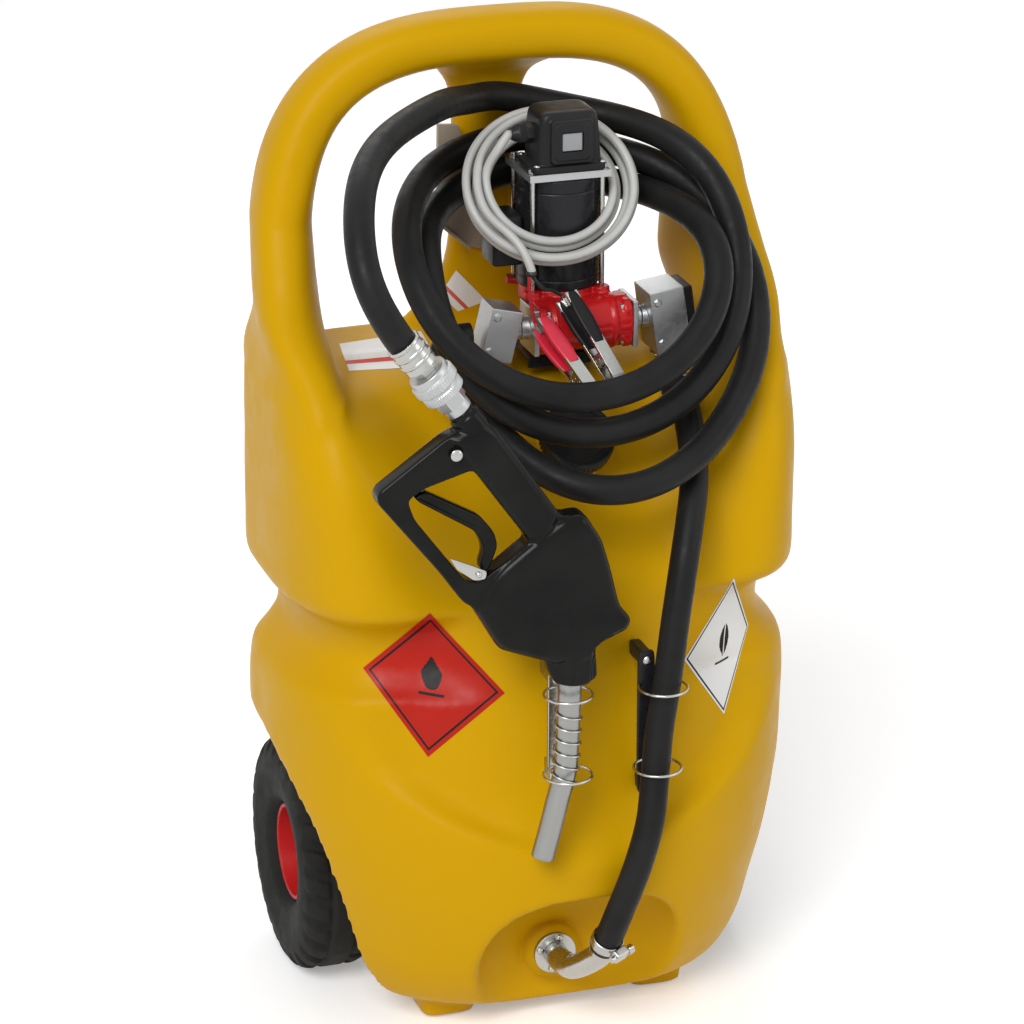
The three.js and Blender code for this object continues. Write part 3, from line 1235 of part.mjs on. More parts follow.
// Power cable: six loops hung round the motor, with a lead from the gland and a tail
const cableRadius = 4.5;
const loopRadius = 81.5;
const loopSpread = 11.6;
const loopX = 28;
const loopY = -4;
const loopRise = 183.48;
const loopZ = seatHeight + loopRise;
const loopCentre = vec(loopX, loopY, loopZ);
const loopLeanAngle = 53;
const loopUp = vec(0, Math.cos(turn(loopLeanAngle)), Math.sin(turn(loopLeanAngle)));
const loopOut = vec(0, -Math.sin(turn(loopLeanAngle)), Math.cos(turn(loopLeanAngle)));
const loopStartAngle = 175;
const loopEndAngle = 1990;
const spreadTurns = 6.2;
const cablePlace = (angle) => {
  const spin = turn(120 + angle / spreadTurns);
  const radius = loopRadius + loopSpread * Math.cos(spin);
  return loopCentre.clone().add(vec(radius * Math.cos(turn(angle)), 0, 0))
    .addScaledVector(loopUp, radius * Math.sin(turn(angle)))
    .addScaledVector(loopOut, loopSpread * Math.sin(spin));
};
const cableLoops = straightEnds(coilPoints(loopStartAngle, loopEndAngle, cablePlace), cableRadius);
console.log("power_cable_coil least gap", leastGap(cableLoops, cableRadius).toFixed(2));
piece("power_cable_coil", coilTube(cableLoops, cableRadius, 5), greyCable);
const glandEnd = vec(glandX - glandLength, glandY, glandZ);
const inCoil = (angle, radius, out) =>
  loopCentre.clone().add(vec(radius * Math.cos(turn(angle)), 0, 0))
    .addScaledVector(loopUp, radius * Math.sin(turn(angle))).addScaledVector(loopOut, out);
const cableLead = [
  glandEnd.clone().add(vec(-gap, 0, 0)), glandEnd.clone().add(vec(-2 * cableRadius, 0, 0)),
  inCoil(152, 66, 33),
  along(cableLoops[0], cableLoops[1], -2 * cableRadius), along(cableLoops[0], cableLoops[1], -gap),
];
piece("power_cable_lead", tube(curveOf(cableLead), cableRadius, 8, 10), greyCable);
const spliceX = -18;
const spliceY = -79;
const spliceRise = 114.98;
const spliceZ = seatHeight + spliceRise;
const splice = vec(spliceX, spliceY, spliceZ);
const spliceWay = vec(0, -0.1, -1).normalize();
const cableTail = [
  along(cableLoops.at(-1), cableLoops.at(-2), -gap),
  along(cableLoops.at(-1), cableLoops.at(-2), -2 * cableRadius),
  inCoil(214, 83, 19), inCoil(232, 87, 26),
  splice.clone().addScaledVector(spliceWay, -2 * cableRadius),
  splice.clone(),
];
piece("power_cable_tail", tube(curveOf(cableTail), cableRadius, 8, 6), greyCable);

// Battery leads and clamps
const leadRadius = 2;
const sideways = vec(1, 0, 0);
const leadStart = (side) =>
  splice.clone().addScaledVector(spliceWay, gap).addScaledVector(sideways, side * (leadRadius + gap));
const clampLength = 78;
const jawLength = 28;
const clampHalf = 8;
const armThickness = 3;
const clampSpread = 8;
const clampPinRadius = 3;
const earLap = 1;
const crimpLength = 10;
const crimpHalf = 3;
const leadDrop = 5;
function batteryClamp(label, leadMaterial, material, handle, pivot, side, bends) {
  const way = pivot.clone().sub(handle).normalize();
  const flat = vec().crossVectors(vec(0, 0, 1), way).normalize();
  const upward = vec().crossVectors(way, flat);
  const frame = new THREE.Matrix4().makeBasis(way, flat, upward).setPosition(pivot);
  const arm = (sign) => {
    const outline = [
      [-clampLength, sign * clampSpread], [-0.1 * clampLength, sign * 0.7 * clampSpread],
      [0.3 * jawLength, sign * 0.7 * clampSpread], [0.75 * jawLength, sign * 0.6 * clampSpread],
      [jawLength, sign * gap], [jawLength + armThickness, sign * gap],
      [0.85 * jawLength, sign * (0.6 * clampSpread + armThickness)],
      [-0.1 * clampLength, sign * (0.7 * clampSpread + armThickness)],
      [-clampLength, sign * (clampSpread + armThickness)],
    ];
    return solid(plate(outline, -clampHalf, clampHalf));
  };
  const ears = (sign, y) =>
    box(-clampPinRadius - armThickness, clampPinRadius + armThickness, y, y + armThickness,
      Math.min(-sign * (clampPinRadius + earLap), sign * 0.8 * clampSpread),
      Math.max(-sign * (clampPinRadius + earLap), sign * 0.8 * clampSpread));
  const pinAcross = (radius, reach) => solid(alongY(disc(radius, -reach, reach, 10)));
  const innerEar = clampHalf - 2 * armThickness - gap;
  const crimp = box(-clampLength, -clampLength + crimpLength, -crimpHalf, crimpHalf,
    -clampSpread - armThickness / 2, crimpHalf - leadDrop);
  const lower = union(arm(-1), crimp, ears(-1, innerEar), ears(-1, -innerEar - armThickness),
    pinAcross(clampPinRadius, clampHalf));
  const upper = union(arm(1), ears(1, clampHalf - armThickness), ears(1, -clampHalf))
    .subtract(pinAcross(clampPinRadius + gap, clampHalf + overrun));
  const inPlace = (body) => body.transform(frame.elements);
  piece(`clamp_${label}_arm`, inPlace(lower), material);
  piece(`clamp_${label}_jaw`, inPlace(upper), material);
  const inHandle = pivot.clone().addScaledVector(way, -clampLength - gap)
    .addScaledVector(upward, -leadDrop);
  const points = [
    leadStart(side), leadStart(side).addScaledVector(spliceWay, 2 * leadRadius),
    ...bends.map((p) => vec(...p)), inHandle.clone().addScaledVector(way, -2 * leadRadius),
    inHandle,
  ];
  piece(`lead_${label}`, tube(curveOf(points), leadRadius, 8, 14), leadMaterial);
}
const aboveSeat = (x, y, rise) => vec(x, y, seatHeight + rise);
const redHandle = aboveSeat(-4.2, -71.4, 53.58);
const redPivot = aboveSeat(18.2, -128.4, 13.58);
const redLeadRoute = [[-17, -72, 793]];
const blackHandle = aboveSeat(27, -68, 75.98);
const blackPivot = aboveSeat(48.5, -114, 26.98);
const blackLeadRoute = [[-4, -75, 803], [11, -60, 795]];
batteryClamp("red", redSleeve, redSleeve, redHandle, redPivot, -1, redLeadRoute);
batteryClamp("black", blackRubber, blackPlastic, blackHandle, blackPivot, 1, blackLeadRoute);

// Centre the caddy between the front of the spout rings and the backs of the wheels
const frontEnd = nozzleY - ringRadius - ringWire;
const backEnd = wheelY + wheelRadius;
centred.position.y = -between(frontEnd, backEnd);

export default caddy;
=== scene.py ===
# Fuel caddy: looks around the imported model, in metres, +Z up, front towards -Y.
import json
import math

import bmesh
import bpy
import numpy as np
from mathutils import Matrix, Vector
from mathutils.bvhtree import BVHTree


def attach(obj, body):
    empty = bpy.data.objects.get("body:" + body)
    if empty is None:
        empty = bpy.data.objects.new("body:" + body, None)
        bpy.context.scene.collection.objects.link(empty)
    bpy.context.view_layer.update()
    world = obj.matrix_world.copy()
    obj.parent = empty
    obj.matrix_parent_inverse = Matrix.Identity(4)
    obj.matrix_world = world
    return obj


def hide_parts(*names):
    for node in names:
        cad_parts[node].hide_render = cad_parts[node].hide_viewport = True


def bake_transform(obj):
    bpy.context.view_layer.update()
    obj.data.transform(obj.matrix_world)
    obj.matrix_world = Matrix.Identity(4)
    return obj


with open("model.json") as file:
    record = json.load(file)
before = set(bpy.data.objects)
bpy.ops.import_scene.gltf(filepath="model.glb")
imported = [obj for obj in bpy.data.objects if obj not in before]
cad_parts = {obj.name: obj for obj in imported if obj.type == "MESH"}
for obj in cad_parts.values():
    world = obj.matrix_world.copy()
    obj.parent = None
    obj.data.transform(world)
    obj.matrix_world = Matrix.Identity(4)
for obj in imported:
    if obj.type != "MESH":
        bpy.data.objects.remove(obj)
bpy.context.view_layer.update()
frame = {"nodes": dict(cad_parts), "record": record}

# View of the photograph: a long lens from the front left, looking a little down.
# The target is a point inside the tank, and the camera stands 4.6 m away from it.
view_turn, view_tilt, view_distance = math.radians(18), math.radians(20.5), 4.6
target = Vector((-0.0134, 0.0348, 0.5322))
photo_side, focal_in_pixels, sensor_width, sight = 1024, 4318, 36, 60
view_way = Vector((
    math.sin(view_turn) * math.cos(view_tilt),
    math.cos(view_turn) * math.cos(view_tilt),
    -math.sin(view_tilt),
))
camera = bpy.data.objects.new("camera", bpy.data.cameras.new("camera"))
camera.data.sensor_width = sensor_width
camera.data.lens = sensor_width * focal_in_pixels / photo_side
camera.data.clip_end = sight
camera.location = target - view_way * view_distance
camera.rotation_mode = "QUATERNION"
camera.rotation_quaternion = view_way.to_track_quat("-Z", "Y")
bpy.context.scene.collection.objects.link(camera)
bpy.context.scene.camera = camera

# Delivery hose, a free cord: smooth black rubber, 31 mm thick, pushed onto the bent outlet pipe. It
# winds over the pump in two and a half open loops and ends crimped in the ferrule of the nozzle.
def shown(name, mesh, smooth=True):
    """Object of a mesh in the scene, with every face shaded smooth or flat."""
    mesh.polygons.foreach_set("use_smooth", np.full(len(mesh.polygons), smooth))
    made = bpy.data.objects.new(name, mesh)
    bpy.context.scene.collection.objects.link(made)
    return made


def place(name, points, faces, smooth=True):
    """Mesh object from an array of points and a list or array of faces."""
    mesh = bpy.data.meshes.new(name)
    mesh.from_pydata(np.asarray(points, float).tolist(), [], [list(map(int, f)) for f in faces])
    mesh.update()
    return shown(name, mesh, smooth)


def grid_faces(rows, columns, closed):
    """Quads between neighbouring rows of a grid, closed round the columns when asked: each quad
    joins a point, the next in its row, and the same two in the following row."""
    last = columns if closed else columns - 1
    row, column = np.meshgrid(np.arange(rows - 1), np.arange(last), indexing="ij")
    following = (column + 1) % columns
    quads = np.stack([
        row * columns + column, row * columns + following,
        (row + 1) * columns + following, (row + 1) * columns + column,
    ], -1)
    return quads.reshape(-1, 4)


def outward(made):
    """Turns every face of a closed mesh to point outwards."""
    shape = bmesh.new()
    shape.from_mesh(made.data)
    bmesh.ops.recalc_face_normals(shape, faces=shape.faces)
    shape.to_mesh(made.data)
    shape.free()


def skin(name, rings):
    """Closed skin over rings of points (rows, columns, 3), with a flat face at both ends."""
    rows, columns, _ = rings.shape
    faces = grid_faces(rows, columns, True).tolist()
    faces.append(list(range(columns))[::-1])
    faces.append(list(range((rows - 1) * columns, rows * columns)))
    made = place(name, rings.reshape(-1, 3), faces)
    outward(made)
    return made


def finish(name, color, roughness, metallic=0.0, grain=400.0, bump=0.05, mottle=0.06, spread=0.08,
           blotch=9.0, specular=0.5, stretch=(1, 1, 1)):
    """Surface with its own colour, a slow mottling, an uneven roughness and a fine grain in relief.
    Three noises of object coordinates drive them: slow for colour, quick for roughness, fine for
    relief. The slow one is stretched by contrast about its middle before it mixes the two tints."""
    contrast, contrast_shift, noise_low, noise_high, relief_depth = 1.6, -0.3, 0.3, 0.7, 0.001
    least_roughness, lift = 0.04, 0.02
    surface = bpy.data.materials.new(name)
    surface.use_nodes = True
    tree = surface.node_tree
    shader = tree.nodes["Principled BSDF"]
    shader.inputs["Metallic"].default_value = metallic
    shader.inputs["Specular IOR Level"].default_value = specular
    place_of = tree.nodes.new("ShaderNodeTexCoord")
    mapping = tree.nodes.new("ShaderNodeMapping")
    mapping.inputs["Scale"].default_value = stretch
    tree.links.new(place_of.outputs["Object"], mapping.inputs["Vector"])

    def noise(scale, detail):
        made = tree.nodes.new("ShaderNodeTexNoise")
        made.inputs["Scale"].default_value = scale
        made.inputs["Detail"].default_value = detail
        tree.links.new(mapping.outputs["Vector"], made.inputs["Vector"])
        return made.outputs["Fac"]

    slow, quick, fine = noise(blotch, 3), noise(blotch * 8, 4), noise(grain, 3)
    mix = tree.nodes.new("ShaderNodeMix")
    mix.data_type = "RGBA"
    darker = [value * (1 - mottle) for value in color]
    lighter = [min(value * (1 + mottle) + lift * mottle, 1) for value in color]
    mix.inputs["A"].default_value = (*darker, 1)
    mix.inputs["B"].default_value = (*lighter, 1)
    blend = tree.nodes.new("ShaderNodeMath")
    blend.operation = "MULTIPLY_ADD"
    tree.links.new(slow, blend.inputs[0])
    blend.inputs[1].default_value = contrast
    blend.inputs[2].default_value = contrast_shift
    blend.use_clamp = True
    tree.links.new(blend.outputs[0], mix.inputs["Factor"])
    tree.links.new(mix.outputs["Result"], shader.inputs["Base Color"])
    rough = tree.nodes.new("ShaderNodeMapRange")
    rough.inputs["From Min"].default_value = noise_low
    rough.inputs["From Max"].default_value = noise_high
    rough.inputs["To Min"].default_value = max(roughness - spread, least_roughness)
    rough.inputs["To Max"].default_value = min(roughness + spread, 1)
    tree.links.new(quick, rough.inputs["Value"])
    tree.links.new(rough.outputs["Result"], shader.inputs["Roughness"])
    relief = tree.nodes.new("ShaderNodeBump")
    relief.inputs["Strength"].default_value = bump
    relief.inputs["Distance"].default_value = relief_depth
    tree.links.new(fine, relief.inputs["Height"])
    tree.links.new(relief.outputs["Normal"], shader.inputs["Normal"])
    return surface


def walk_of(path):
    """Distance walked along a path up to each of its points: the running sum of its steps."""
    return np.concatenate([[0], np.cumsum(np.linalg.norm(np.diff(path, axis=0), axis=1))])


def points_at(path, stops):
    """Points of a path at given walked distances, each on the straight step that it falls in."""
    walked = walk_of(path)
    return np.stack([np.interp(stops, walked, column) for column in path.T], -1)


def smooth_path(points, spacing):
    """Smooth curve through the given points, as points an even distance apart: knots lie the square
    root of each step apart, and three rounds of straight mixes between four neighbours give it."""
    steps, fewest = 24, 4
    p = np.asarray(points, float)
    p = np.vstack([2 * p[0] - p[1], p, 2 * p[-1] - p[-2]])
    knots = np.concatenate([[0], np.cumsum(np.sqrt(np.linalg.norm(np.diff(p, axis=0), axis=1)))])
    share = np.linspace(0, 1, steps, endpoint=False)
    k = knots[:, None]
    t0, t1, t2, t3 = (k[i:len(p) - 3 + i, :, None] for i in range(4))
    q0, q1, q2, q3 = (p[i:len(p) - 3 + i, None, :] for i in range(4))
    t = t1 + (t2 - t1) * share[None, :, None]
    a1 = (t1 - t) / (t1 - t0) * q0 + (t - t0) / (t1 - t0) * q1
    a2 = (t2 - t) / (t2 - t1) * q1 + (t - t1) / (t2 - t1) * q2
    a3 = (t3 - t) / (t3 - t2) * q2 + (t - t2) / (t3 - t2) * q3
    b1 = (t2 - t) / (t2 - t0) * a1 + (t - t0) / (t2 - t0) * a2
    b2 = (t3 - t) / (t3 - t1) * a2 + (t - t1) / (t3 - t1) * a3
    dense = ((t2 - t) / (t2 - t1) * b1 + (t - t1) / (t2 - t1) * b2).reshape(-1, 3)
    dense = np.vstack([dense, p[-2]])
    whole = walk_of(dense)[-1]
    return points_at(dense, np.linspace(0, whole, max(int(whole / spacing), fewest) + 1))


def relaxed(path, rounds):
    """Path with its kinks let out: each inner point moves half way to the mean of its neighbours,
    the two points at either end stay, and the steps are made even again."""
    path = path.copy()
    for _ in range(rounds):
        path[2:-2] = path[2:-2] * 0.5 + (path[1:-3] + path[3:-1]) * 0.25
    return points_at(path, np.linspace(0, walk_of(path)[-1], len(path)))


def carried(path, outline, guide):
    """Rings of an outline (across, up) carried square along a path; up stays nearest the guide."""
    way = np.gradient(path, axis=0)
    way /= np.linalg.norm(way, axis=1)[:, None]
    across = np.cross(way, np.asarray(guide, float))
    across /= np.linalg.norm(across, axis=1)[:, None]
    up = np.cross(across, way)
    outline = np.asarray(outline, float)
    return (path[:, None, :] + outline[None, :, :1] * across[:, None, :]
            + outline[None, :, 1:] * up[:, None, :])


def around(sides):
    """Even angles once round, from nothing up to one step short of a full turn."""
    return np.linspace(0, 2 * np.pi, sides, endpoint=False)


def circle(radius, sides):
    """Points of a circle in a plane: the radius times cosine and sine of even angles."""
    angle = around(sides)
    return np.stack([radius * np.cos(angle), radius * np.sin(angle)], -1)


def row_value(rows, column, at):
    """Smooth value between table rows: a cubic whose slopes are those of its neighbours."""
    angles, values = rows[:, 0], rows[:, column]
    last = len(rows) - 2
    spot = np.clip(np.searchsorted(angles, at, side="left") - 1, 0, last)
    before, after = np.maximum(spot - 1, 0), np.minimum(spot + 2, last + 1)
    slope_in = (values[spot + 1] - values[before]) / (angles[spot + 1] - angles[before])
    slope_out = (values[after] - values[spot]) / (angles[after] - angles[spot])
    width = angles[spot + 1] - angles[spot]
    t = (at - angles[spot]) / width
    bend = t * (1 - t) * width
    return (values[spot] + (values[spot + 1] - values[spot]) * t * t * (3 - 2 * t)
            + bend * ((1 - t) * slope_in - t * slope_out))


def leaning(lean):
    """Directions up along and square out of a plane that leans from level by an angle."""
    return (np.array([0, math.cos(lean), math.sin(lean)]),
            np.array([0, -math.sin(lean), math.cos(lean)]))


# Rows of the coil: angle in degrees, then reach and offset out of its plane in coil radii.
coil_rows = np.array([
    [236, 0.994, -0.200], [270, 1.366, 0.057], [315, 1.303, -0.029], [360, 1.206, -0.160],
    [405, 1.012, -0.290], [423, 0.985, -0.510], [446, 0.975, -0.475], [472, 0.975, -0.510],
    [489, 0.975, -0.340], [540, 0.971, 0.189], [630, 0.829, 0.195], [720, 0.920, 0.189],
    [745, 0.885, -0.120], [768, 0.845, -0.480], [782, 0.815, -0.630], [808, 0.795, -0.560],
    [836, 0.792, -0.610], [857, 0.800, -0.450], [900, 0.823, 0.000], [990, 1.006, 0.000],
    [1080, 1.097, 0.020], [1112, 1.130, 0.020], [1130, 1.138, -0.180], [1148, 1.145, -0.405],
    [1166, 1.155, -0.365],
])
coil_radius, coil_rise, coil_count = 0.175, 0.125, 63
coil_base = np.array([0.020, -0.0972, 0.712])
coil_up, coil_out = leaning(math.radians(58.6))
coil_angle = np.linspace(coil_rows[0, 0], coil_rows[-1, 0], coil_count)
coil_reach = coil_radius * row_value(coil_rows, 1, coil_angle)
coil_offset = coil_radius * row_value(coil_rows, 2, coil_angle)
coil_turn = np.radians(coil_angle)
coil_points = (coil_base + (coil_reach * np.cos(coil_turn))[:, None] * [1, 0, 0]
               + (coil_rise + coil_reach * np.sin(coil_turn))[:, None] * coil_up
               + coil_offset[:, None] * coil_out)
hose_start = [(-0.1078, -0.0237, 0.7277), (-0.1116, -0.0344, 0.7176), (-0.0989, -0.0433, 0.7006),
              (-0.0918, -0.0544, 0.6930), (-0.0845, -0.0660, 0.6851)]
hose_end = [(0.0040, 0.1269, 0.9661), (-0.0106, 0.1266, 0.9703), (-0.0300, 0.1068, 0.9680),
            (-0.0700, 0.0608, 0.9820), (-0.1080, 0.0168, 0.9860), (-0.1440, -0.0152, 0.9820),
            (-0.1780, -0.0532, 0.9770), (-0.2100, -0.1032, 0.9660), (-0.2330, -0.1552, 0.9460),
            (-0.2440, -0.1972, 0.9080), (-0.2400, -0.2172, 0.8730), (-0.2195, -0.2232, 0.8353),
            (-0.2102, -0.2232, 0.8232)]
hose_radius, hose_step, hose_rounds, hose_sides = 0.0155, 0.006, 40, 32
hose_route = np.vstack([hose_start, coil_points, hose_end])
hose_line = relaxed(smooth_path(hose_route, hose_step), hose_rounds)
black_rubber = finish("black hose rubber", (0.010, 0.010, 0.010), 0.44, grain=420, bump=0.05,
                      mottle=0.35, spread=0.1, blotch=14, specular=0.12)
delivery_hose = skin("delivery_hose", carried(hose_line, circle(hose_radius, hose_sides), coil_out))
delivery_hose.data.materials.append(black_rubber)
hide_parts("delivery_hose_lead", "delivery_hose_coil", "delivery_hose_end")
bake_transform(delivery_hose)

# Power cable, a free cord: round, 9 mm thick, in a grey plastic jacket. It leaves the gland of the
# switch box, hangs round the motor in five loops and goes into the splice of the battery leads.
def dress(made, surface, slot=None, body="tank", *nodes):
    """Gives a piece its material, the body it rides on and the nodes it replaces; its slot is not
    used.
    """
    made.data.materials.clear()
    made.data.materials.append(surface)
    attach(made, body)
    if nodes:
        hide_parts(*nodes)
    return made


# The loops run round a circle that wanders about its middle, a little uneven and pressed flat.
loop_up, loop_out = leaning(math.radians(53))
loop_centre = np.array([0.028, 0.0308, 0.8905])
loop_radius, loop_squash, strand_reach = 0.0815, 0.93, 0.0116
loop_from, loop_to, loop_count, spin_from, spin_slowing = 175, 1990, 122, 120, 6.2
oval_share, oval_turn, drift_share, drift_pace = 0.022, 0.6, 0.012, 0.73
loop_angle = np.linspace(loop_from, loop_to, loop_count)
loop_spin = np.radians(spin_from + loop_angle / spin_slowing)
loop_reach = loop_radius + strand_reach * np.cos(loop_spin)
loop_turn = np.radians(loop_angle)
loop_uneven = (1 + oval_share * np.sin(2 * loop_turn + oval_turn)
               + drift_share * np.sin(drift_pace * loop_turn))
loop_points = (loop_centre + (loop_uneven * loop_reach * np.cos(loop_turn))[:, None] * [1, 0, 0]
               + (loop_squash * loop_uneven * loop_reach * np.sin(loop_turn))[:, None] * loop_up
               + (strand_reach * np.sin(loop_spin))[:, None] * loop_out)
cable_start = [(-0.0166, 0.0288, 0.9500), (-0.0253, 0.0288, 0.9500), (-0.0303, 0.0231, 0.9351),
               (-0.0444, 0.0402, 0.9138), (-0.0439, 0.0351, 0.9067)]
cable_end = [(-0.0534, 0.0073, 0.8785), (-0.0529, 0.0021, 0.8715), (-0.0408, -0.0123, 0.8649),
             (-0.0256, -0.0312, 0.8514), (-0.0180, -0.0433, 0.8310), (-0.0180, -0.0442, 0.8220)]
cable_radius, cable_step, cable_rounds, cable_sides = 0.0045, 0.003, 70, 18
cable_route = np.vstack([cable_start, loop_points, cable_end])
cable_line = relaxed(smooth_path(cable_route, cable_step), cable_rounds)
cable_grey = finish("grey cable jacket", (0.50, 0.50, 0.48), 0.42, grain=500, bump=0.08,
                    mottle=0.1, spread=0.1, blotch=25)
cable_rings = carried(cable_line, circle(cable_radius, cable_sides), loop_out)
power_cable = dress(skin("power_cable", cable_rings), cable_grey, "grey_cable", "tank",
                    "power_cable_lead", "power_cable_coil", "power_cable_tail")

# Splice at the end of the cable: a short tube of black heat-shrink plastic over the two thin leads,
# shrunk on, so that it swells in the middle and draws in at both ends.
splice_radius, splice_stations, swell_from, swell_power = 0.0056, 15, 0.25, 0.3
splice_line = np.linspace((-0.018, -0.0439, 0.8248), (-0.018, -0.0446, 0.8186), splice_stations)
swell_turn = np.linspace(swell_from, np.pi - swell_from, splice_stations)
swell = splice_radius * np.sin(swell_turn) ** swell_power
splice_rings = carried(splice_line, circle(1, 24), (1, 0, 0))
splice_rings = (splice_line[:, None, :]
                + (splice_rings - splice_line[:, None, :]) * swell[:, None, None])
shrink_black = finish("black shrink sleeve", (0.015, 0.015, 0.016), 0.5, grain=700, bump=0.1)
splice = dress(skin("lead_splice", splice_rings), shrink_black, "black_rubber")

# Battery leads, free cords: one red and one black wire, 4 mm thick, from the splice into the
# handles of the clamps.
lead_radius, lead_step, lead_sides = 0.002, 0.0015, 14
red_route = [(-0.0203, -0.0442, 0.8217), (-0.0203, -0.0446, 0.8177), (-0.0170, -0.0372, 0.7930),
             (-0.0080, -0.0269, 0.7614), (-0.0068, -0.0300, 0.7592)]
black_route = [(-0.0157, -0.0442, 0.8217), (-0.0157, -0.0446, 0.8177), (-0.0040, -0.0402, 0.8030),
               (0.0110, -0.0252, 0.7950), (0.0220, -0.0224, 0.7876), (0.0232, -0.0250, 0.7848)]
lead_red_skin = finish("red lead jacket", (0.55, 0.02, 0.03), 0.4, grain=700, bump=0.05)
lead_black_skin = finish("black lead jacket", (0.015, 0.015, 0.016), 0.4, grain=700, bump=0.05)
lead_lines, lead_pieces = {}, {}
for label, route, jacket, slot_name in (
    ("red", red_route, lead_red_skin, "red_sleeve"),
    ("black", black_route, lead_black_skin, "black_rubber"),
):
    lead_lines[label] = smooth_path(route, lead_step)
    rings = carried(lead_lines[label], circle(lead_radius, lead_sides), (1, 0.2, 0))
    lead_pieces[label] = dress(skin(f"lead_{label}_wire", rings), jacket, slot_name, "tank",
                               f"lead_{label}")

# Tank: rotomoulded yellow polyethylene in one hollow piece, with the handle hoop, the web between
# the two hand openings, the feet, the wheel arches, the drain alcove and the filler neck.
def smoothstep(start, end, value):
    """Rise from 0 to 1 between start and end with level ends: 3 t squared minus 2 t cubed."""
    t = np.clip((value - start) / (end - start), 0, 1)
    return t * t * (3 - 2 * t)


def signed_power(value, power):
    """Power of the size of a value with the sign kept."""
    return np.sign(value) * np.abs(value) ** power


# Rows of the body: height share of the tank's; half width, front and back reach as shares of its
# own; how far the groove is in; depth, half width and flat floor of the front channel as shares;
# powers of the front and the back half of the outline.
level_rows = np.array([
    [0.0170, 0.601, 0.566, 0.828, 0, 0.00, 0.7, 0.6, 2.8, 3],
    [0.0340, 0.748, 0.713, 0.945, 0, 0.00, 0.7, 0.6, 2.5, 3.4],
    [0.0519, 0.811, 0.791, 0.972, 0, 0.00, 0.7, 0.6, 2.3, 3.6],
    [0.0802, 0.857, 0.868, 0.993, 0, 0.00, 0.6, 0.6, 2.2, 3.8],
    [0.1179, 0.895, 0.938, 1.000, 0, 0.00, 0.4, 0.6, 2.1, 4],
    [0.1604, 0.934, 0.981, 1.000, 0, 0.00, 0.3, 0.6, 2.1, 4],
    [0.2028, 0.965, 1.000, 1.000, 0, 0.00, 0.2, 0.6, 2.1, 4],
    [0.2226, 0.976, 1.000, 1.000, 0, 0.06, 0.24, 0.4, 2.1, 4],
    [0.2377, 0.986, 1.000, 1.000, 0, 0.15, 0.38, 0.5, 2.1, 4],
    [0.2547, 0.993, 0.996, 1.000, 0, 0.22, 0.54, 0.6, 2.1, 4],
    [0.2755, 0.997, 0.992, 1.000, 0, 0.28, 0.68, 0.64, 2.1, 4],
    [0.3000, 1.000, 0.988, 1.000, 0, 0.32, 0.8, 0.66, 2.1, 4],
    [0.3302, 1.000, 0.981, 1.000, 0, 0.35, 0.88, 0.66, 2.15, 4],
    [0.3547, 0.993, 0.969, 1.000, 0, 0.36, 0.92, 0.62, 2.2, 4],
    [0.3698, 0.990, 0.961, 1.000, 0.14, 0.37, 0.92, 0.58, 2.3, 4.2],
    [0.3811, 0.990, 0.957, 1.000, 0.5, 0.38, 0.92, 0.55, 2.3, 4.3],
    [0.4038, 0.990, 0.946, 1.000, 1, 0.40, 0.92, 0.5, 2.4, 4.5],
    [0.4292, 0.990, 0.930, 1.000, 1, 0.44, 0.92, 0.45, 2.5, 4.7],
    [0.4415, 0.990, 0.922, 1.000, 0.85, 0.48, 0.92, 0.4, 2.6, 4.8],
    [0.4500, 0.990, 0.919, 1.000, 0.45, 0.51, 0.92, 0.4, 2.6, 4.9],
    [0.4575, 0.990, 0.915, 1.000, 0.12, 0.54, 0.92, 0.36, 2.7, 5],
    [0.4679, 0.990, 0.911, 1.000, 0, 0.59, 0.92, 0.34, 2.8, 5],
    [0.5047, 0.990, 0.888, 1.000, 0, 0.84, 0.91, 0.32, 2.9, 5],
    [0.5472, 0.990, 0.822, 1.000, 0, 0.97, 0.9, 0.32, 3.2, 5],
    [0.5934, 0.986, 0.717, 1.000, 0, 1.00, 0.88, 0.38, 3.8, 5],
    [0.6226, 0.986, 0.632, 1.000, 0, 1.04, 0.86, 0.48, 4, 5],
    [0.6434, 0.983, 0.558, 1.000, 0, 1.14, 0.84, 0.6, 4.2, 5],
    [0.6528, 0.983, 0.523, 1.000, 0, 1.32, 0.82, 0.68, 4.3, 5],
    [0.6585, 0.979, 0.500, 1.000, 0, 1.62, 0.8, 0.74, 4.3, 5],
    [0.6623, 0.976, 0.481, 0.993, 0, 1.58, 0.79, 0.78, 4.3, 5],
    [0.6651, 0.965, 0.461, 0.972, 0, 1.54, 0.785, 0.8, 4.3, 5],
    [0.6670, 0.937, 0.426, 0.924, 0, 1.52, 0.78, 0.8, 4.3, 5],
])
tank_height, tank_width, front_reach, back_reach, line_y = 1.060, 0.572, 0.258, 0.145, 0.0548
groove_depth, channel_depth = 0.030, 0.100
seat_height = level_rows[-1, 0] * tank_height


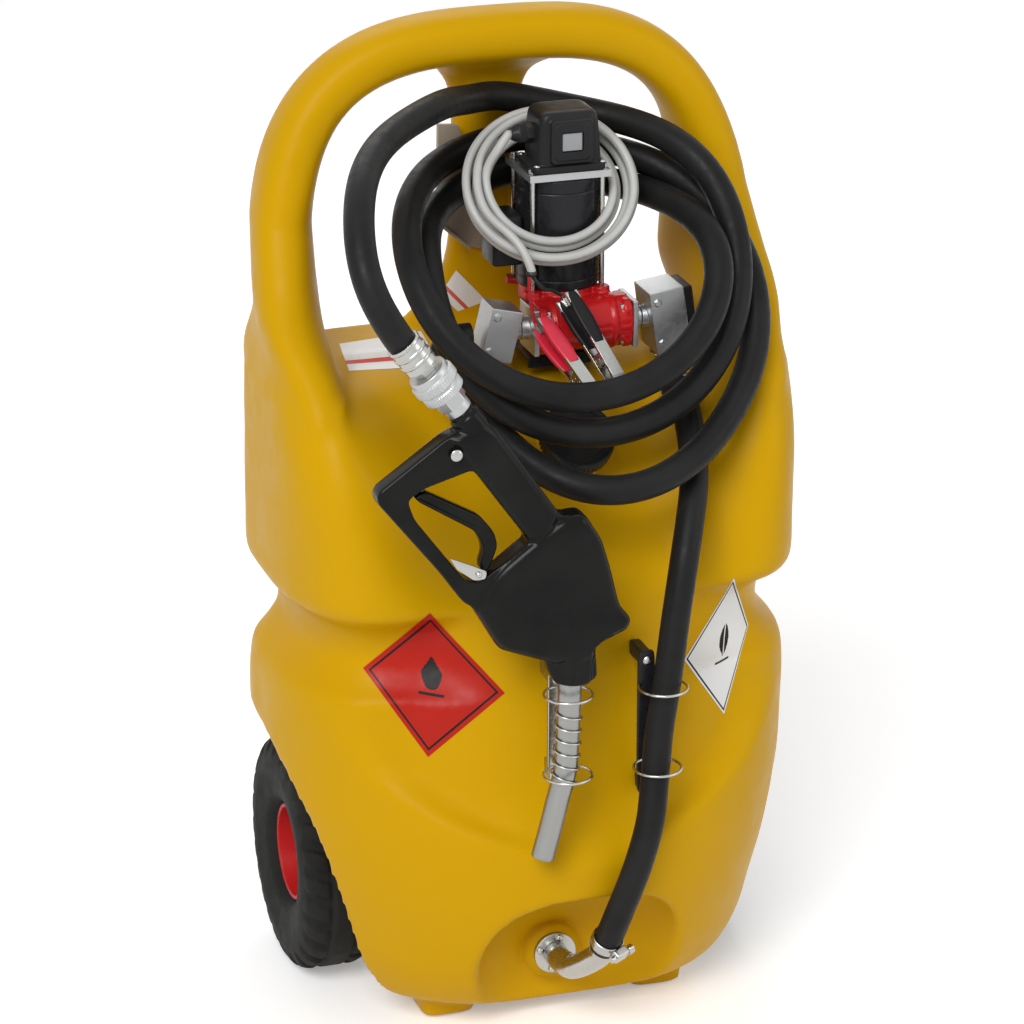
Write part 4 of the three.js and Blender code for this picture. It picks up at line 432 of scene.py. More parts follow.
def tank_rings(sides, rows):
    """Level sections: two half superellipses with their own powers, drawn in by the groove band,
    with a smooth dip at the front for the channel; the table rows are joined by smooth cubics."""
    fade_from, fade_to, least_width = 0.2, 0.6, 1e-4
    height = np.linspace(level_rows[0, 0], level_rows[-1, 0], rows)
    wide, front, back, groove, channel, ch_width, ch_floor, p_front, p_back = (
        row_value(level_rows, column, height)[:, None] for column in range(1, 10))
    angle = 2 * np.pi * (np.arange(sides) + 0.5)[None, :] / sides
    is_front = np.sin(angle) < 0
    power = np.where(is_front, p_front, p_back)
    reach = np.where(is_front, front * front_reach, back * back_reach)
    over = signed_power(np.cos(angle), 2 / power)
    far = signed_power(np.sin(angle), 2 / power)
    fade = np.where(is_front, smoothstep(fade_from, fade_to, np.abs(over)), 1)
    shrink = 1 - 2 * groove * groove_depth * fade / tank_width
    x = over * wide * tank_width / 2 * shrink
    edge = np.maximum(ch_width * tank_width / 2, least_width)
    share = np.abs(x) / edge
    dip = np.where(is_front, 1 - smoothstep(ch_floor, 1, share), 0)
    y = line_y + far * reach * shrink + np.maximum(channel, 0) * channel_depth * dip
    z = np.broadcast_to(height[:, None] * tank_height, x.shape)
    return np.stack([x, y, z], -1)


# Hoop: half its width between the middles of the legs, its thickness and its front and back faces
# low and on top, the height at which its arch starts, the lean of its legs in degrees, and the
# power that rounds the corners of its sections.
hoop_reach, hoop_low, hoop_top, arch_base, hoop_lean = 0.238, 0.066, 0.057, 0.780, 14
hoop_front_low, hoop_front_top, hoop_back_low, hoop_back_top = 0.0688, 0.0948, 0.1978, 0.1668
hoop_corner = 0.8
# Rows of a leg: height share, then its place, thickness, front and back reach as shares.
leg_rows = np.array([[0.585, 0.996, 0.91, 0.419, 0.897], [0.623, 1.013, 1.00, 0.481, 0.952],
                     [0.658, 1.021, 1.09, 0.450, 0.986], [0.693, 1.013, 1.08, 0.318, 0.986],
                     [0.726, 1.004, 1.05, 0.171, 0.986], [0.759, 1.000, 1.02, 0.047, 0.986]])


def hoop_ring(x, z, normal_x, normal_z, half, front, back, lean, sides):
    """Closed section across the hoop's normal: a superellipse, turned in its plane by its lean."""
    angle = around(sides)
    out = half * signed_power(np.cos(angle), hoop_corner)
    deep = (back - front) / 2 * signed_power(np.sin(angle), hoop_corner)
    c, s = math.cos(math.radians(lean)), math.sin(math.radians(lean))
    shift = out * c - deep * s
    return np.stack([x + normal_x * shift, (front + back) / 2 + deep * c + out * s,
                     z + normal_z * shift], -1)


def hoop_rings(sides, arch_steps, leg_steps):
    """Rings up one leg, over a superellipse arch of power 3 and down the other leg; on the arch the
    thickness and the faces go over from those of the legs to those of the top by a smooth step."""
    leg_end, arch_from, arch_sweep, arch_curve, change_low, change_high = 0.750, 9, 162, 3, 0.1, 0.9
    height = np.linspace(leg_rows[0, 0], leg_end, leg_steps)
    table = [row_value(leg_rows, column, height) for column in range(1, 5)]

    def leg(side):
        made = []
        for z_share, wide, thick, front, back in zip(height, *table):
            z = z_share * tank_height
            lean = hoop_lean * float(smoothstep(seat_height, arch_base, z))
            made.append(hoop_ring(side * wide * hoop_reach, z, side, 0, thick * hoop_low / 2,
                                  line_y - front * front_reach, line_y + back * back_reach,
                                  lean, sides))
        return made

    made = leg(1)
    rise = tank_height - hoop_top / 2 - arch_base
    for step in range(arch_steps + 1):
        angle = math.radians(arch_from + arch_sweep * step / arch_steps)
        over = float(signed_power(math.cos(angle), 2 / arch_curve))
        up = math.sin(angle) ** (2 / arch_curve)
        slope_x = float(signed_power(over, arch_curve - 1)) / hoop_reach
        slope_z = up ** (arch_curve - 1) / rise
        length = math.hypot(slope_x, slope_z)
        top = float(smoothstep(change_low, change_high, up))
        half = (hoop_low + (hoop_top - hoop_low) * top) / 2
        front = hoop_front_low + (hoop_front_top - hoop_front_low) * top
        back = hoop_back_low + (hoop_back_top - hoop_back_low) * top
        made.append(hoop_ring(hoop_reach * over, arch_base + rise * up, slope_x / length,
                              slope_z / length, half, front, back, hoop_lean * (1 - top), sides))
    made += leg(-1)[::-1]
    return np.array(made)


# Web: half its width and depth, and its middle low and on top. Rows: height share, width share.
web_half, web_deep, web_x, web_y_low, web_y_top = 0.037, 0.025, 0.001, 0.1738, 0.1428
web_rows = np.array([[0.630, 2.9], [0.660, 2.9], [0.6755, 2.4], [0.6934, 1.85], [0.717, 1.36],
                     [0.755, 1.1], [0.820, 1.0], [0.885, 1.0], [0.913, 1.12], [0.932, 1.5],
                     [0.946, 2.1], [0.957, 2.5], [0.968, 1.6]])


def web_rings(sides, rows):
    """Level rounded sections of the web, wide at the seat and flared into the hoop."""
    top_from, top_to, thinned = 0.925, 0.95, 0.1
    share = np.linspace(web_rows[0, 0], web_rows[-1, 0], rows)
    half = row_value(web_rows, 1, share) * web_half
    top = smoothstep(top_from, top_to, share)
    middle = web_y_low + (web_y_top - web_y_low) * top
    depth = web_deep * (1 - thinned * top)
    angle = around(sides)
    x = web_x + half[:, None] * signed_power(np.cos(angle), hoop_corner)
    y = middle[:, None] + depth[:, None] * signed_power(np.sin(angle), hoop_corner)
    return np.stack([x, y, np.broadcast_to((share * tank_height)[:, None], x.shape)], -1)


def superbox(low, high, power=6, sides=48, rows=24):
    """Rounded box between two corners: a superellipsoid, whose cosines and sines of turn and tilt
    are raised to 2 / power. The tilt stops 2 degrees short of the poles, at small flat faces."""
    low, high = np.asarray(low, float), np.asarray(high, float)
    tilt = np.radians(np.linspace(-88, 88, rows))[:, None]
    angle = 2 * np.pi * (np.arange(sides) + 0.5)[None, :] / sides
    level = np.cos(tilt) ** (2 / power)
    unit = np.stack(np.broadcast_arrays(
        level * signed_power(np.cos(angle), 2 / power),
        level * signed_power(np.sin(angle), 2 / power),
        signed_power(np.sin(tilt), 2 / power)), -1)
    return (low + high) / 2 + unit * (high - low) / 2


# Wheel arches: a quarter superellipse about the axle; the cutter runs on behind, below and out.
wheel_y, wheel_z, arch_reach, arch_rise, arch_power = 0.1198, 0.130, 0.180, 0.182, 2 / 2.5
arch_in, arch_out, arch_behind, arch_below = 0.158, 0.6, 0.70, -0.05


def arch_cutter(side):
    """Wheel arch: its outline in the YZ plane, drawn straight out sideways."""
    points = 40
    angle = np.radians(np.linspace(90, 180, points))
    y = wheel_y + arch_reach * signed_power(np.cos(angle), arch_power)
    z = wheel_z + arch_rise * np.sin(angle) ** arch_power
    outline = [(arch_behind, wheel_z + arch_rise), *zip(y, z), (wheel_y - arch_reach, arch_below),
               (arch_behind, arch_below)]
    rings = [[(side * x, *point) for point in outline] for x in (arch_in, arch_out)]
    return skin("arch", np.array(rings))


def disc_skin(name, radius, start, end):
    """Plain round bar between two points."""
    sides = 64
    line = np.array([start, end], float)
    way = Vector(line[1] - line[0]).normalized()
    guide = way.orthogonal()
    rings = carried(np.array([line[0], line[0] * 0.5 + line[1] * 0.5, line[1]]),
                    circle(radius, sides), tuple(guide))
    return skin(name, rings)


def evaluated(made):
    """Fixes a mesh object's modifiers into its mesh, with every face shaded smooth."""
    bpy.context.view_layer.update()
    graph = bpy.context.evaluated_depsgraph_get()
    baked = bpy.data.meshes.new_from_object(made.evaluated_get(graph))
    baked.polygons.foreach_set("use_smooth", np.full(len(baked.polygons), True))
    made.modifiers.clear()
    made.data = baked


def combined(whole, added, cut=()):
    """Adds closed skins to the first one, then cuts others from it, and removes them all."""
    for other, how in [(o, "UNION") for o in added] + [(o, "DIFFERENCE") for o in cut]:
        step = whole.modifiers.new(how, "BOOLEAN")
        step.object = other
        step.operation = how
        step.solver = "MANIFOLD"
    evaluated(whole)
    for other in [*added, *cut]:
        bpy.data.objects.remove(other)


def merged(name, added, cut, voxel, smooth):
    """One closed skin from overlapping closed ones: sums, then cuts, an even mesh, then smoothing
    rounds that each move a point half way to the mean of its neighbours."""
    whole = added[0]
    combined(whole, added[1:], cut)
    even = whole.modifiers.new("even", "REMESH")
    even.mode = "VOXEL"
    even.voxel_size = voxel
    soft = whole.modifiers.new("soft", "SMOOTH")
    soft.factor = 0.5
    soft.iterations = smooth
    evaluated(whole)
    whole.name = name
    whole.data.name = name
    return whole


# Drain alcove: a rounded hollow in the front face, with a round boss on its back wall; filler neck:
# a short round tube that leans 45 degrees to the front; feet: two rounded blocks under the front.
drain_x, drain_z = -0.015, 0.084
alcove_y, alcove_half, alcove_deep, alcove_low, alcove_high = -0.2102, 0.122, 0.112, -0.100, 0.180
alcove = superbox((-alcove_half, alcove_y - alcove_deep, alcove_low),
                  (alcove_half, alcove_y + alcove_deep, alcove_high), power=2.8, sides=96, rows=60)
filler_at, filler_lean = Vector((0.0255, -0.0532, 0.634)), math.radians(45)
filler_way = Vector((0, -math.sin(filler_lean), math.cos(filler_lean)))
foot_in, foot_out, foot_front, foot_back, foot_top = 0.087, 0.149, -0.0742, -0.0042, 0.045
feet = []
for side in (1, -1):
    left, right = sorted((side * foot_in, side * foot_out))
    feet.append(skin("foot", superbox((left, foot_front, 0), (right, foot_back, foot_top))))
tank = merged(
    "tank_shell_skin",
    [skin("tank", tank_rings(400, 190)), skin("hoop", hoop_rings(56, 110, 30)),
     skin("web", web_rings(56, 90)), *feet],
    [arch_cutter(1), arch_cutter(-1), skin("alcove", alcove)], voxel=0.0052, smooth=5)
boss_radius, boss_front, boss_back = 0.031, -0.1152, -0.075
boss = disc_skin("boss", boss_radius, (drain_x, boss_front, drain_z), (drain_x, boss_back, drain_z))
neck_radius, neck_below, neck_above = 0.035, 0.024, 0.017
neck = disc_skin("neck", neck_radius, filler_at - neck_below * filler_way,
                 filler_at + neck_above * filler_way)
combined(tank, [boss, neck])
yellow = finish("yellow moulded plastic", (0.62, 0.340, 0.0005), 0.40, grain=900, bump=0.05,
                mottle=0.035, spread=0.07, blotch=5, specular=0.08)
dress(tank, yellow, "yellow_plastic", "tank", "tank_shell")

# Wheels: black rubber tyre with side lugs and two grooves round it, pressed onto a red one-piece
# plastic rim that turns on a plain bushing on the axle.
def eased(corners, bend, closed=False):
    """Outline whose corners become short bends that start one bend length before them: quadratic
    curves with the corner as their middle point, shortened where the neighbour is near."""
    steps, most = 4, 0.45
    corners = np.asarray(corners, float)
    before, after = np.roll(corners, 1, 0), np.roll(corners, -1, 0)
    if not closed:
        before, after = before[1:-1], after[1:-1]
    inner = corners if closed else corners[1:-1]
    back, on = before - inner, after - inner
    back_long = np.linalg.norm(back, axis=1)[:, None]
    on_long = np.linalg.norm(on, axis=1)[:, None]
    reach = np.minimum(bend, most * np.minimum(back_long, on_long))
    start, end = inner + back / back_long * reach, inner + on / on_long * reach
    t = np.linspace(0, 1, steps + 1)[None, :, None]
    bends = (1 - t) ** 2 * start[:, None] + 2 * t * (1 - t) * inner[:, None] + t * t * end[:, None]
    bends = bends.reshape(-1, corners.shape[1])
    return bends if closed else np.vstack([corners[:1], bends, corners[-1:]])


def ring_grid(name, rings):
    """Skin over rings of points that closes on itself in both directions."""
    rows, columns, _ = rings.shape
    spot = np.arange(rows * columns).reshape(rows, columns)
    beside, below = np.roll(spot, -1, 1), np.roll(spot, -1, 0)
    quads = np.stack([spot, beside, np.roll(beside, -1, 0), below], -1)
    made = place(name, rings.reshape(-1, 3), quads.reshape(-1, 4))
    outward(made)
    return made


def even_loop(points, count):
    """Closed outline walked in even steps."""
    closed = np.vstack([points, points[:1]])
    return points_at(closed, np.linspace(0, walk_of(closed)[-1], count, endpoint=False))


# Outlines as shares of the wheel's radius and of its width, from the inner side outwards.
wheel_r, wheel_w, wheel_in, hub_out = 0.130, 0.086, 0.172, 0.63
tyre_outline = np.array([[0.42, 0.2], [0.48, 0.08], [0.73, 0.0], [0.9, 0.04], [0.975, 0.12],
                         [1, 0.22], [1, 0.78], [0.975, 0.88], [0.9, 0.96], [0.73, 1],
                         [0.48, 0.92], [0.42, 0.8]])
rim_outline = np.array([[0.113, 0.0], [0.17, 0.0], [0.17, 0.38], [0.36, 0.4], [0.37, 0.17],
                        [0.413, 0.17], [0.413, 0.83], [0.375, 0.83], [0.37, 0.56], [0.24, 0.52],
                        [0.19, hub_out], [0.113, hub_out]])
wheel_size = [wheel_r, wheel_w]
tyre_angles, rim_angles, tyre_steps, tyre_corner, rim_corner = 384, 160, 110, 0.006, 0.0018
lug_count, lug_slant, lug_edge, lug_share, lug_depth = 26, 7, 7, 0.35, 0.038
line_place, line_width, line_depth = 0.17, 0.025, 0.028
lugs_from, lugs_to, lugs_in, lugs_out, tread_from, tread_to = 0.80, 0.93, 0.14, 0.26, 0.95, 0.99
tyre_black = finish("tyre rubber", (0.014, 0.014, 0.013), 0.72, grain=700, bump=0.25, mottle=0.4,
                    specular=0.12)
rim_red = finish("red rim plastic", (0.47, 0.014, 0.014), 0.38, grain=900, bump=0.06, mottle=0.08,
                 specular=0.2)


def wheel_rings(outline, side, angles):
    """Outline of (radius share, width share) turned round the axle of one side."""
    angle = around(angles)[:, None]
    radius = outline[..., 0] * wheel_r
    x = side * (wheel_in + outline[..., 1] * wheel_w)
    return np.stack(np.broadcast_arrays(
        x, wheel_y + radius * np.cos(angle), wheel_z + radius * np.sin(angle)), -1)


for side, label in ((-1, "left"), (1, "right")):
    soft = eased(tyre_outline * wheel_size, tyre_corner, True)
    outline = even_loop(soft, tyre_steps) / wheel_size
    reach, width = outline[None, :, 0], outline[None, :, 1]
    off_middle = np.abs(width - 0.5)
    angle = around(tyre_angles)[:, None]
    slant = lug_count * angle + lug_slant * off_middle
    lug = 0.5 + 0.5 * np.tanh(lug_edge * (np.cos(slant) + lug_share))
    shoulder = (smoothstep(lugs_from, lugs_to, reach)
                * smoothstep(lugs_in, lugs_out, off_middle))
    line = (np.exp(-((off_middle - line_place) / line_width) ** 2)
            * smoothstep(tread_from, tread_to, reach))
    drawn = reach - lug_depth * shoulder * (1 - lug) - line_depth * line
    treaded = np.stack(np.broadcast_arrays(drawn, width), -1)
    tyre = ring_grid(f"wheel_{label}_tyre_skin", wheel_rings(treaded, side, tyre_angles))
    dress(tyre, tyre_black, "tyre_rubber", f"wheel_{label}", f"wheel_{label}_tyre")
    soft = eased(rim_outline * wheel_size, rim_corner, True) / wheel_size
    rim = ring_grid(f"wheel_{label}_rim_skin", wheel_rings(soft[None], side, rim_angles))
    dress(rim, rim_red, "red_plastic", f"wheel_{label}", f"wheel_{label}_rim")

# Axle: a zinc-plated steel bar through both wheels, with a head on the left and a black plastic cap
# pushed on at the right, both over the hubs. Every turning ends in a small flat face of radius tip.
tip = 0.0004


def frame_of(way, guide=None):
    """Two directions square to a way, the first one nearest the guide: the guide less its
    part along the way, and the cross product of both."""
    way = Vector(way).normalized()
    first = Vector(guide) if guide is not None else way.orthogonal()
    first = (first - way * first.dot(way)).normalized()
    return np.array(first), np.array(way.cross(first)), np.array(way)


def turned_rings(rows, start, way, sides=64):
    """Turning about an axis: rows of (height, radius, knurl depth, facets). The knurl is a cosine
    of 48 waves round the axis. A row with facets takes a polygon's outline in place of a circle:
    its radius is cos(half a part) / cos(angle off the part's middle), at most flat_share."""
    knurls, flat_share = 48, 0.975
    first, second, axis = frame_of(way)
    angle = around(sides)
    round_way = np.cos(angle)[:, None] * first + np.sin(angle)[:, None] * second
    radius = rows[:, 1, None] * np.ones(sides)
    radius = radius - rows[:, 2, None] * (0.5 + 0.5 * np.cos(knurls * angle))
    facets = np.maximum(rows[:, 3, None], 3)
    part = 2 * np.pi / facets
    flat = np.cos(part / 2) / np.cos(np.mod(angle + part / 2, part) - part / 2)
    radius = np.where(rows[:, 3, None] > 0, radius * np.minimum(flat, flat_share), radius)
    return (np.asarray(start, float) + rows[:, 0, None, None] * axis
            + radius[..., None] * round_way)


def turned(name, rows, start, way, sides=64, bend=0.0006):
    """Closed turning with eased corners; the ends are small flat faces. A row may leave out knurl
    and facets, and where easing brings the count of facets under 1.5 it is round."""
    soft = eased([(*row, 0, 0)[:4] for row in rows], bend)
    soft[:, 3] = np.where(soft[:, 3] > 1.5, np.round(soft[:, 3]), 0)
    return skin(name, turned_rings(soft, start, way, sides))


def bar(name, radius, length, start, way, sides=64, facets=0, bend=0.0006):
    """Plain turned bar, round or with facets."""
    rows = [(0, tip), (0, radius, 0, facets), (length, radius, 0, facets), (length, tip)]
    return turned(name, rows, start, way, sides, bend)


def joined(name, parts):
    """One mesh object from several: their points and faces side by side."""
    whole = bmesh.new()
    for part in parts:
        whole.from_mesh(part.data)
    mesh = bpy.data.meshes.new(name)
    whole.to_mesh(mesh)
    whole.free()
    for part in parts:
        bpy.data.objects.remove(part)
    return shown(name, mesh)


zinc = finish("bright zinc", (0.47, 0.47, 0.45), 0.24, metallic=1.0, grain=900, bump=0.003,
              mottle=0.04, spread=0.05, blotch=40)
plain_black = finish("black moulded plastic", (0.009, 0.009, 0.010), 0.36, grain=1400, bump=0.06,
                     mottle=0.3, spread=0.08, specular=0.18)
hub_x, shaft_radius, head_radius = wheel_in + hub_out * wheel_w, 0.010, 0.015
head_rows = [(0, tip), (0, head_radius), (0.0045, head_radius), (0.006, 0.011), (0.006, tip)]
axle_head = turned("axle_skin", head_rows, (-hub_x - 0.0003, wheel_y, wheel_z), (-1, 0, 0),
                   sides=48)
shaft = bar("shaft", shaft_radius, 2 * hub_x + 0.006, (-hub_x - 0.0002, wheel_y, wheel_z),
            (1, 0, 0), sides=48)
dress(joined("axle_skin", [axle_head, shaft]), zinc, "zinc_steel", "tank", "axle")
cap_end = turned("axle_cap_skin", [(0, 0.0108), (0, head_radius), (0.006, head_radius),
                                   (0.010, 0.010), (0.0105, tip)],
                 (hub_x + 0.0003, wheel_y, wheel_z), (1, 0, 0), sides=48)
dress(cap_end, plain_black, "black_plastic", "tank", "axle_cap")

# Filler cap: black moulded screw cap with a finely ribbed skirt and a sunk top, screwed onto the
# neck that leans to the front.
cap_rows = [(0.008, 0.0362), (0.008, 0.0400, 0.0010), (0.021, 0.0398, 0.0010), (0.0225, 0.0392),
            (0.026, 0.0372), (0.026, 0.030), (0.0248, 0.0285), (0.0248, tip)]
cap = turned("filler_cap_skin", cap_rows, filler_at, filler_way, sides=288, bend=0.0012)
dress(cap, plain_black, "black_plastic", "filler_cap", "filler_cap")

# Pump: glossy red casting with a crosswise port barrel, two flanges and a motor seat with ears, on
# a flat sole; each flange is held by four plated hexagon screws.
def square(size, cut):
    """Outline of a square with its corners cut."""
    half = size / 2
    return [(half, half - cut), (half - cut, half), (cut - half, half), (-half, half - cut),
            (-half, cut - half), (cut - half, -half), (half - cut, -half), (half, cut - half)]


def inset(outline, distance):
    """Closed outline drawn in along the mean of the normals of its two neighbouring edges; the sign
    of the enclosed area tells which side is in."""
    ahead = np.roll(outline, -1, 0) - outline
    ahead /= np.linalg.norm(ahead, axis=1)[:, None] + 1e-12
    behind = np.roll(ahead, 1, 0)
    normal = np.stack([-(ahead + behind)[:, 1], (ahead + behind)[:, 0]], -1)
    normal /= np.linalg.norm(normal, axis=1)[:, None] + 1e-12
    after = np.roll(outline, -1, 0)
    area = np.sum(outline[:, 0] * after[:, 1] - after[:, 0] * outline[:, 1])
    return outline + np.sign(area) * normal * distance


def pillow(name, outline, middle, half, edge, bend, axes=((1, 0, 0), (0, 0, 1), (0, 1, 0))):
    """Plate cut from an outline, with eased corners and edges rounded by a quarter circle: at each
    tilt the outline is drawn in by 1 less its cosine and lies at its sine, times the edge. The
    middle one of the stations lies level."""
    stations = 9
    flat = eased(outline, bend, True)
    tilt = np.radians(np.linspace(-90, 90, stations))
    level = np.where(tilt < 0, -(half - edge), half - edge) + edge * np.sin(tilt)
    level[stations // 2] = 0
    rings = []
    u, v, w = (np.array(axis, float) for axis in axes)
    for height, drawn in zip(level, edge * (1 - np.cos(tilt))):
        at = inset(flat, drawn)
        rings.append(np.asarray(middle, float) + at[:, :1] * u + at[:, 1:] * v + height * w)
    return skin(name, np.array(rings))


across_x = ((0, 1, 0), (0, 0, 1), (1, 0, 0))
pump_red = finish("red pump paint", (0.52, 0.008, 0.010), 0.22, grain=500, bump=0.05, mottle=0.12,
                  spread=0.07, blotch=22, specular=0.3)
pump_x, pump_y, port_y, port_z = 0.040, 0.0448, 0.0028, 0.748
barrel_from, barrel_length = -0.001, 0.102
flange_side, flange_cut, flange_half, bolt_rise = 0.052, 0.008, 0.0045, 0.009
rod_x, rod_y, bolt_off = 0.038, 0.031, 0.0185
castings = [
    bar("barrel", 0.028, barrel_length, (barrel_from, port_y, port_z), (1, 0, 0)),
    *[bar("rib", 0.0298, 0.004, (x, port_y, port_z), (1, 0, 0)) for x in (0.016, 0.080)],
    *[pillow("flange", square(flange_side, flange_cut), (x, port_y, port_z), flange_half,
             edge=0.0012, bend=0.004, axes=across_x) for x in (0.0035, 0.0965)],
    turned("rotor", [(0, tip), (0, 0.031), (0.004, 0.033), (0.062, 0.033), (0.062, tip)],
           (pump_x, 0.0408, 0.718), (0, 0, 1)),
    turned("pad", [(0, tip), (0, 0.040), (0.003, 0.042), (0.018, 0.042), (0.018, tip)],
           (pump_x, pump_y, 0.765), (0, 0, 1), sides=96),
    *[bar("ear", 0.009, 0.008, (pump_x + sx * rod_x, pump_y + sy * rod_y, 0.775), (0, 0, 1),
          sides=32) for sx in (-1, 1) for sy in (-1, 1)],
    skin("sole", superbox((0.011, 0.0158, 0.7116), (0.069, 0.0738, 0.738), power=12)),
]
pump = merged("pump_body_skin", castings, (), voxel=0.0015, smooth=2)
dress(pump, pump_red, "red_paint", "tank", "pump_body")
bolt_rows = [(-0.001, tip), (-0.001, 0.0042, 0, 6), (0.003, 0.0042, 0, 6), (0.0036, 0.0032),
             (0.0036, tip)]
bolts = [turned("bolt", bolt_rows, (x, port_y + dy * bolt_off, port_z + dz * bolt_off),
                (turn_way, 0, 0), sides=36, bend=0.0003)
         for x, turn_way in ((barrel_from + bolt_rise, 1),
                             (barrel_from + barrel_length - bolt_rise, -1))
         for dy in (-1, 1) for dz in (-1, 1)]
dress(joined("flange_bolts", bolts), zinc, "zinc_steel")

# Motor: black painted steel can with a seam at both ends, held by four plated tie rods with nuts
# under a cast top plate; its bracket carries the pump on the tank.
bodies = frame["record"]["behaviour"]["bodies"]
body_of_node = {node: body for body, nodes in bodies.items() for node in nodes}


def dressed(node, surface, slot, width, segments=3):
    """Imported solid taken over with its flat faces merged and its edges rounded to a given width;
    points nearer than doubles are one, faces within flat degrees are one, and edges that turn more
    than sharp degrees are rounded."""
    doubles, flat, sharp = 2e-6, 1, 32
    shape = bmesh.new()
    shape.from_mesh(frame["nodes"][node].data)
    bmesh.ops.remove_doubles(shape, verts=shape.verts, dist=doubles)
    bmesh.ops.dissolve_limit(shape, angle_limit=math.radians(flat), verts=shape.verts,
                             edges=shape.edges)
    shape.verts.ensure_lookup_table()
    shape.verts.index_update()
    points = [tuple(vert.co) for vert in shape.verts]
    faces = [[vert.index for vert in face.verts] for face in shape.faces]
    shape.free()
    made = place(f"{node}_skin", points, faces)
    edges = made.modifiers.new("edges", "BEVEL")
    edges.width = width
    edges.segments = segments
    edges.limit_method = "ANGLE"
    edges.angle_limit = math.radians(sharp)
    edges.harden_normals = True
    return dress(made, surface, slot, body_of_node[node], node)


motor_black = finish("black motor paint", (0.012, 0.012, 0.014), 0.28, grain=900, bump=0.05,
                     mottle=0.2, spread=0.07, blotch=20, specular=0.22)
cast = finish("cast aluminium", (0.48, 0.49, 0.49), 0.38, metallic=1.0, grain=1300, bump=0.012,
              mottle=0.05, spread=0.06, blotch=30)
can, seam, motor_foot = 0.044, 0.0432, 0.783
motor = turned("motor_housing_skin", [
    (0.0003, tip), (0.0003, 0.0425), (0.002, can), (0.010, can), (0.011, seam), (0.012, can),
    (0.104, can), (0.105, seam), (0.106, can), (0.118, can), (0.120, 0.042), (0.120, tip)],
    (pump_x, pump_y, motor_foot), (0, 0, 1), sides=128)
dress(motor, motor_black, "black_paint", "tank", "motor_housing")
rod_rows = [(0, tip), (0, 0.003), (0.128, 0.003), (0.128, 0.0055, 0, 6), (0.1315, 0.0055, 0, 6),
            (0.132, 0.0046), (0.132, 0.0033), (0.134, 0.0028), (0.134, tip)]
for number, (sx, sy) in enumerate(((-1, -1), (1, -1), (-1, 1), (1, 1)), 1):
    at = (pump_x + sx * rod_x, pump_y + sy * rod_y, motor_foot + 0.0003)
    rod = turned(f"motor_tie_rod_{number}_skin", rod_rows, at, (0, 0, 1), sides=36, bend=0.0002)
    dress(rod, zinc, "zinc_steel", "tank", f"motor_tie_rod_{number}")
dressed("motor_top_plate", cast, "cast_aluminium", 0.0018)
dressed("pump_bracket", motor_black, "black_paint", 0.0010)

# Switch box: black moulded box with a skirt, screwed onto the motor's top plate, with a concentric
# frame round a grey rocker, the ribbed cable gland at its side and the relay box beside the motor.
box_low, box_high, skirt_top, box_middle = 0.9113, 0.9765, 0.9202, 0.0385
flare_low, flare_drop = 1.12, 0.15
box_rings = superbox((0.007, 0.0018, box_low), (0.072, 0.0568, box_high), power=7, sides=96,
                     rows=60)
flare = flare_low - flare_drop * (box_rings[..., 2] - box_low) / (box_high - box_low)
box_rings[..., 0] = box_middle + (box_rings[..., 0] - box_middle) * flare
box_parts = [
    skin("box", box_rings),
    skin("skirt", superbox((-0.001, -0.0016, box_low), (0.079, 0.0602, skirt_top),
                           power=9, sides=96, rows=30)),
]
switch_z = 0.9451
for size, deep in ((0.046, 0.0040), (0.038, 0.0052)):
    box_parts.append(pillow("frame", square(size, 0.003), (pump_x, 0.0058 - deep, switch_z),
                            half=0.005, edge=0.0008, bend=0.002))


def oblong(half_x, half_z):
    """Outline of a rectangle about its middle."""
    return [(half_x, half_z), (-half_x, half_z), (-half_x, -half_z), (half_x, -half_z)]


pocket = pillow("pocket", oblong(0.0117, 0.0102), (pump_x, -0.0062, switch_z), half=0.0080,
                edge=0.0004, bend=0.0004)
switch_box = merged("switch_box_skin", box_parts, [pocket], voxel=0.0010, smooth=2)
dress(switch_box, plain_black, "black_plastic", "tank", "switch_box")
grey_plastic = finish("grey plastic", (0.30, 0.31, 0.32), 0.45, grain=900, bump=0.06)
rocker = pillow("switch_rocker_skin", oblong(0.0108, 0.0093), (pump_x, -0.0001, switch_z),
                half=0.0024, edge=0.0007, bend=0.001)
dress(rocker, grey_plastic, "grey_plastic", "rocker", "switch_rocker")
screw_rows = [(0, tip), (0, 0.0036), (0.0014, 0.0036), (0.0024, 0.0022), (0.0026, tip)]
box_screws = [turned("screw", screw_rows, (x, y, skirt_top - 0.0004), (0, 0, 1), sides=32)
              for x in (0.0035, 0.0745) for y in (0.0035, 0.0555)]
dress(joined("switch_box_screws", box_screws), zinc, "zinc_steel", "tank")
gland = turned("cable_gland_skin", [
    (0, 0.0048), (0, 0.0062), (0.006, 0.0088), (0.008, 0.0098, 0.0006), (0.015, 0.0100, 0.0006),
    (0.0155, 0.0112, 0, 6), (0.0238, 0.0112, 0, 6), (0.0238, tip)],
    (-0.0163, 0.0288, 0.950), (1, 0, 0), sides=192, bend=0.0004)
dress(gland, plain_black, "black_plastic", "tank", "cable_gland")
dressed("relay_box", plain_black, "black_plastic", 0.0025)

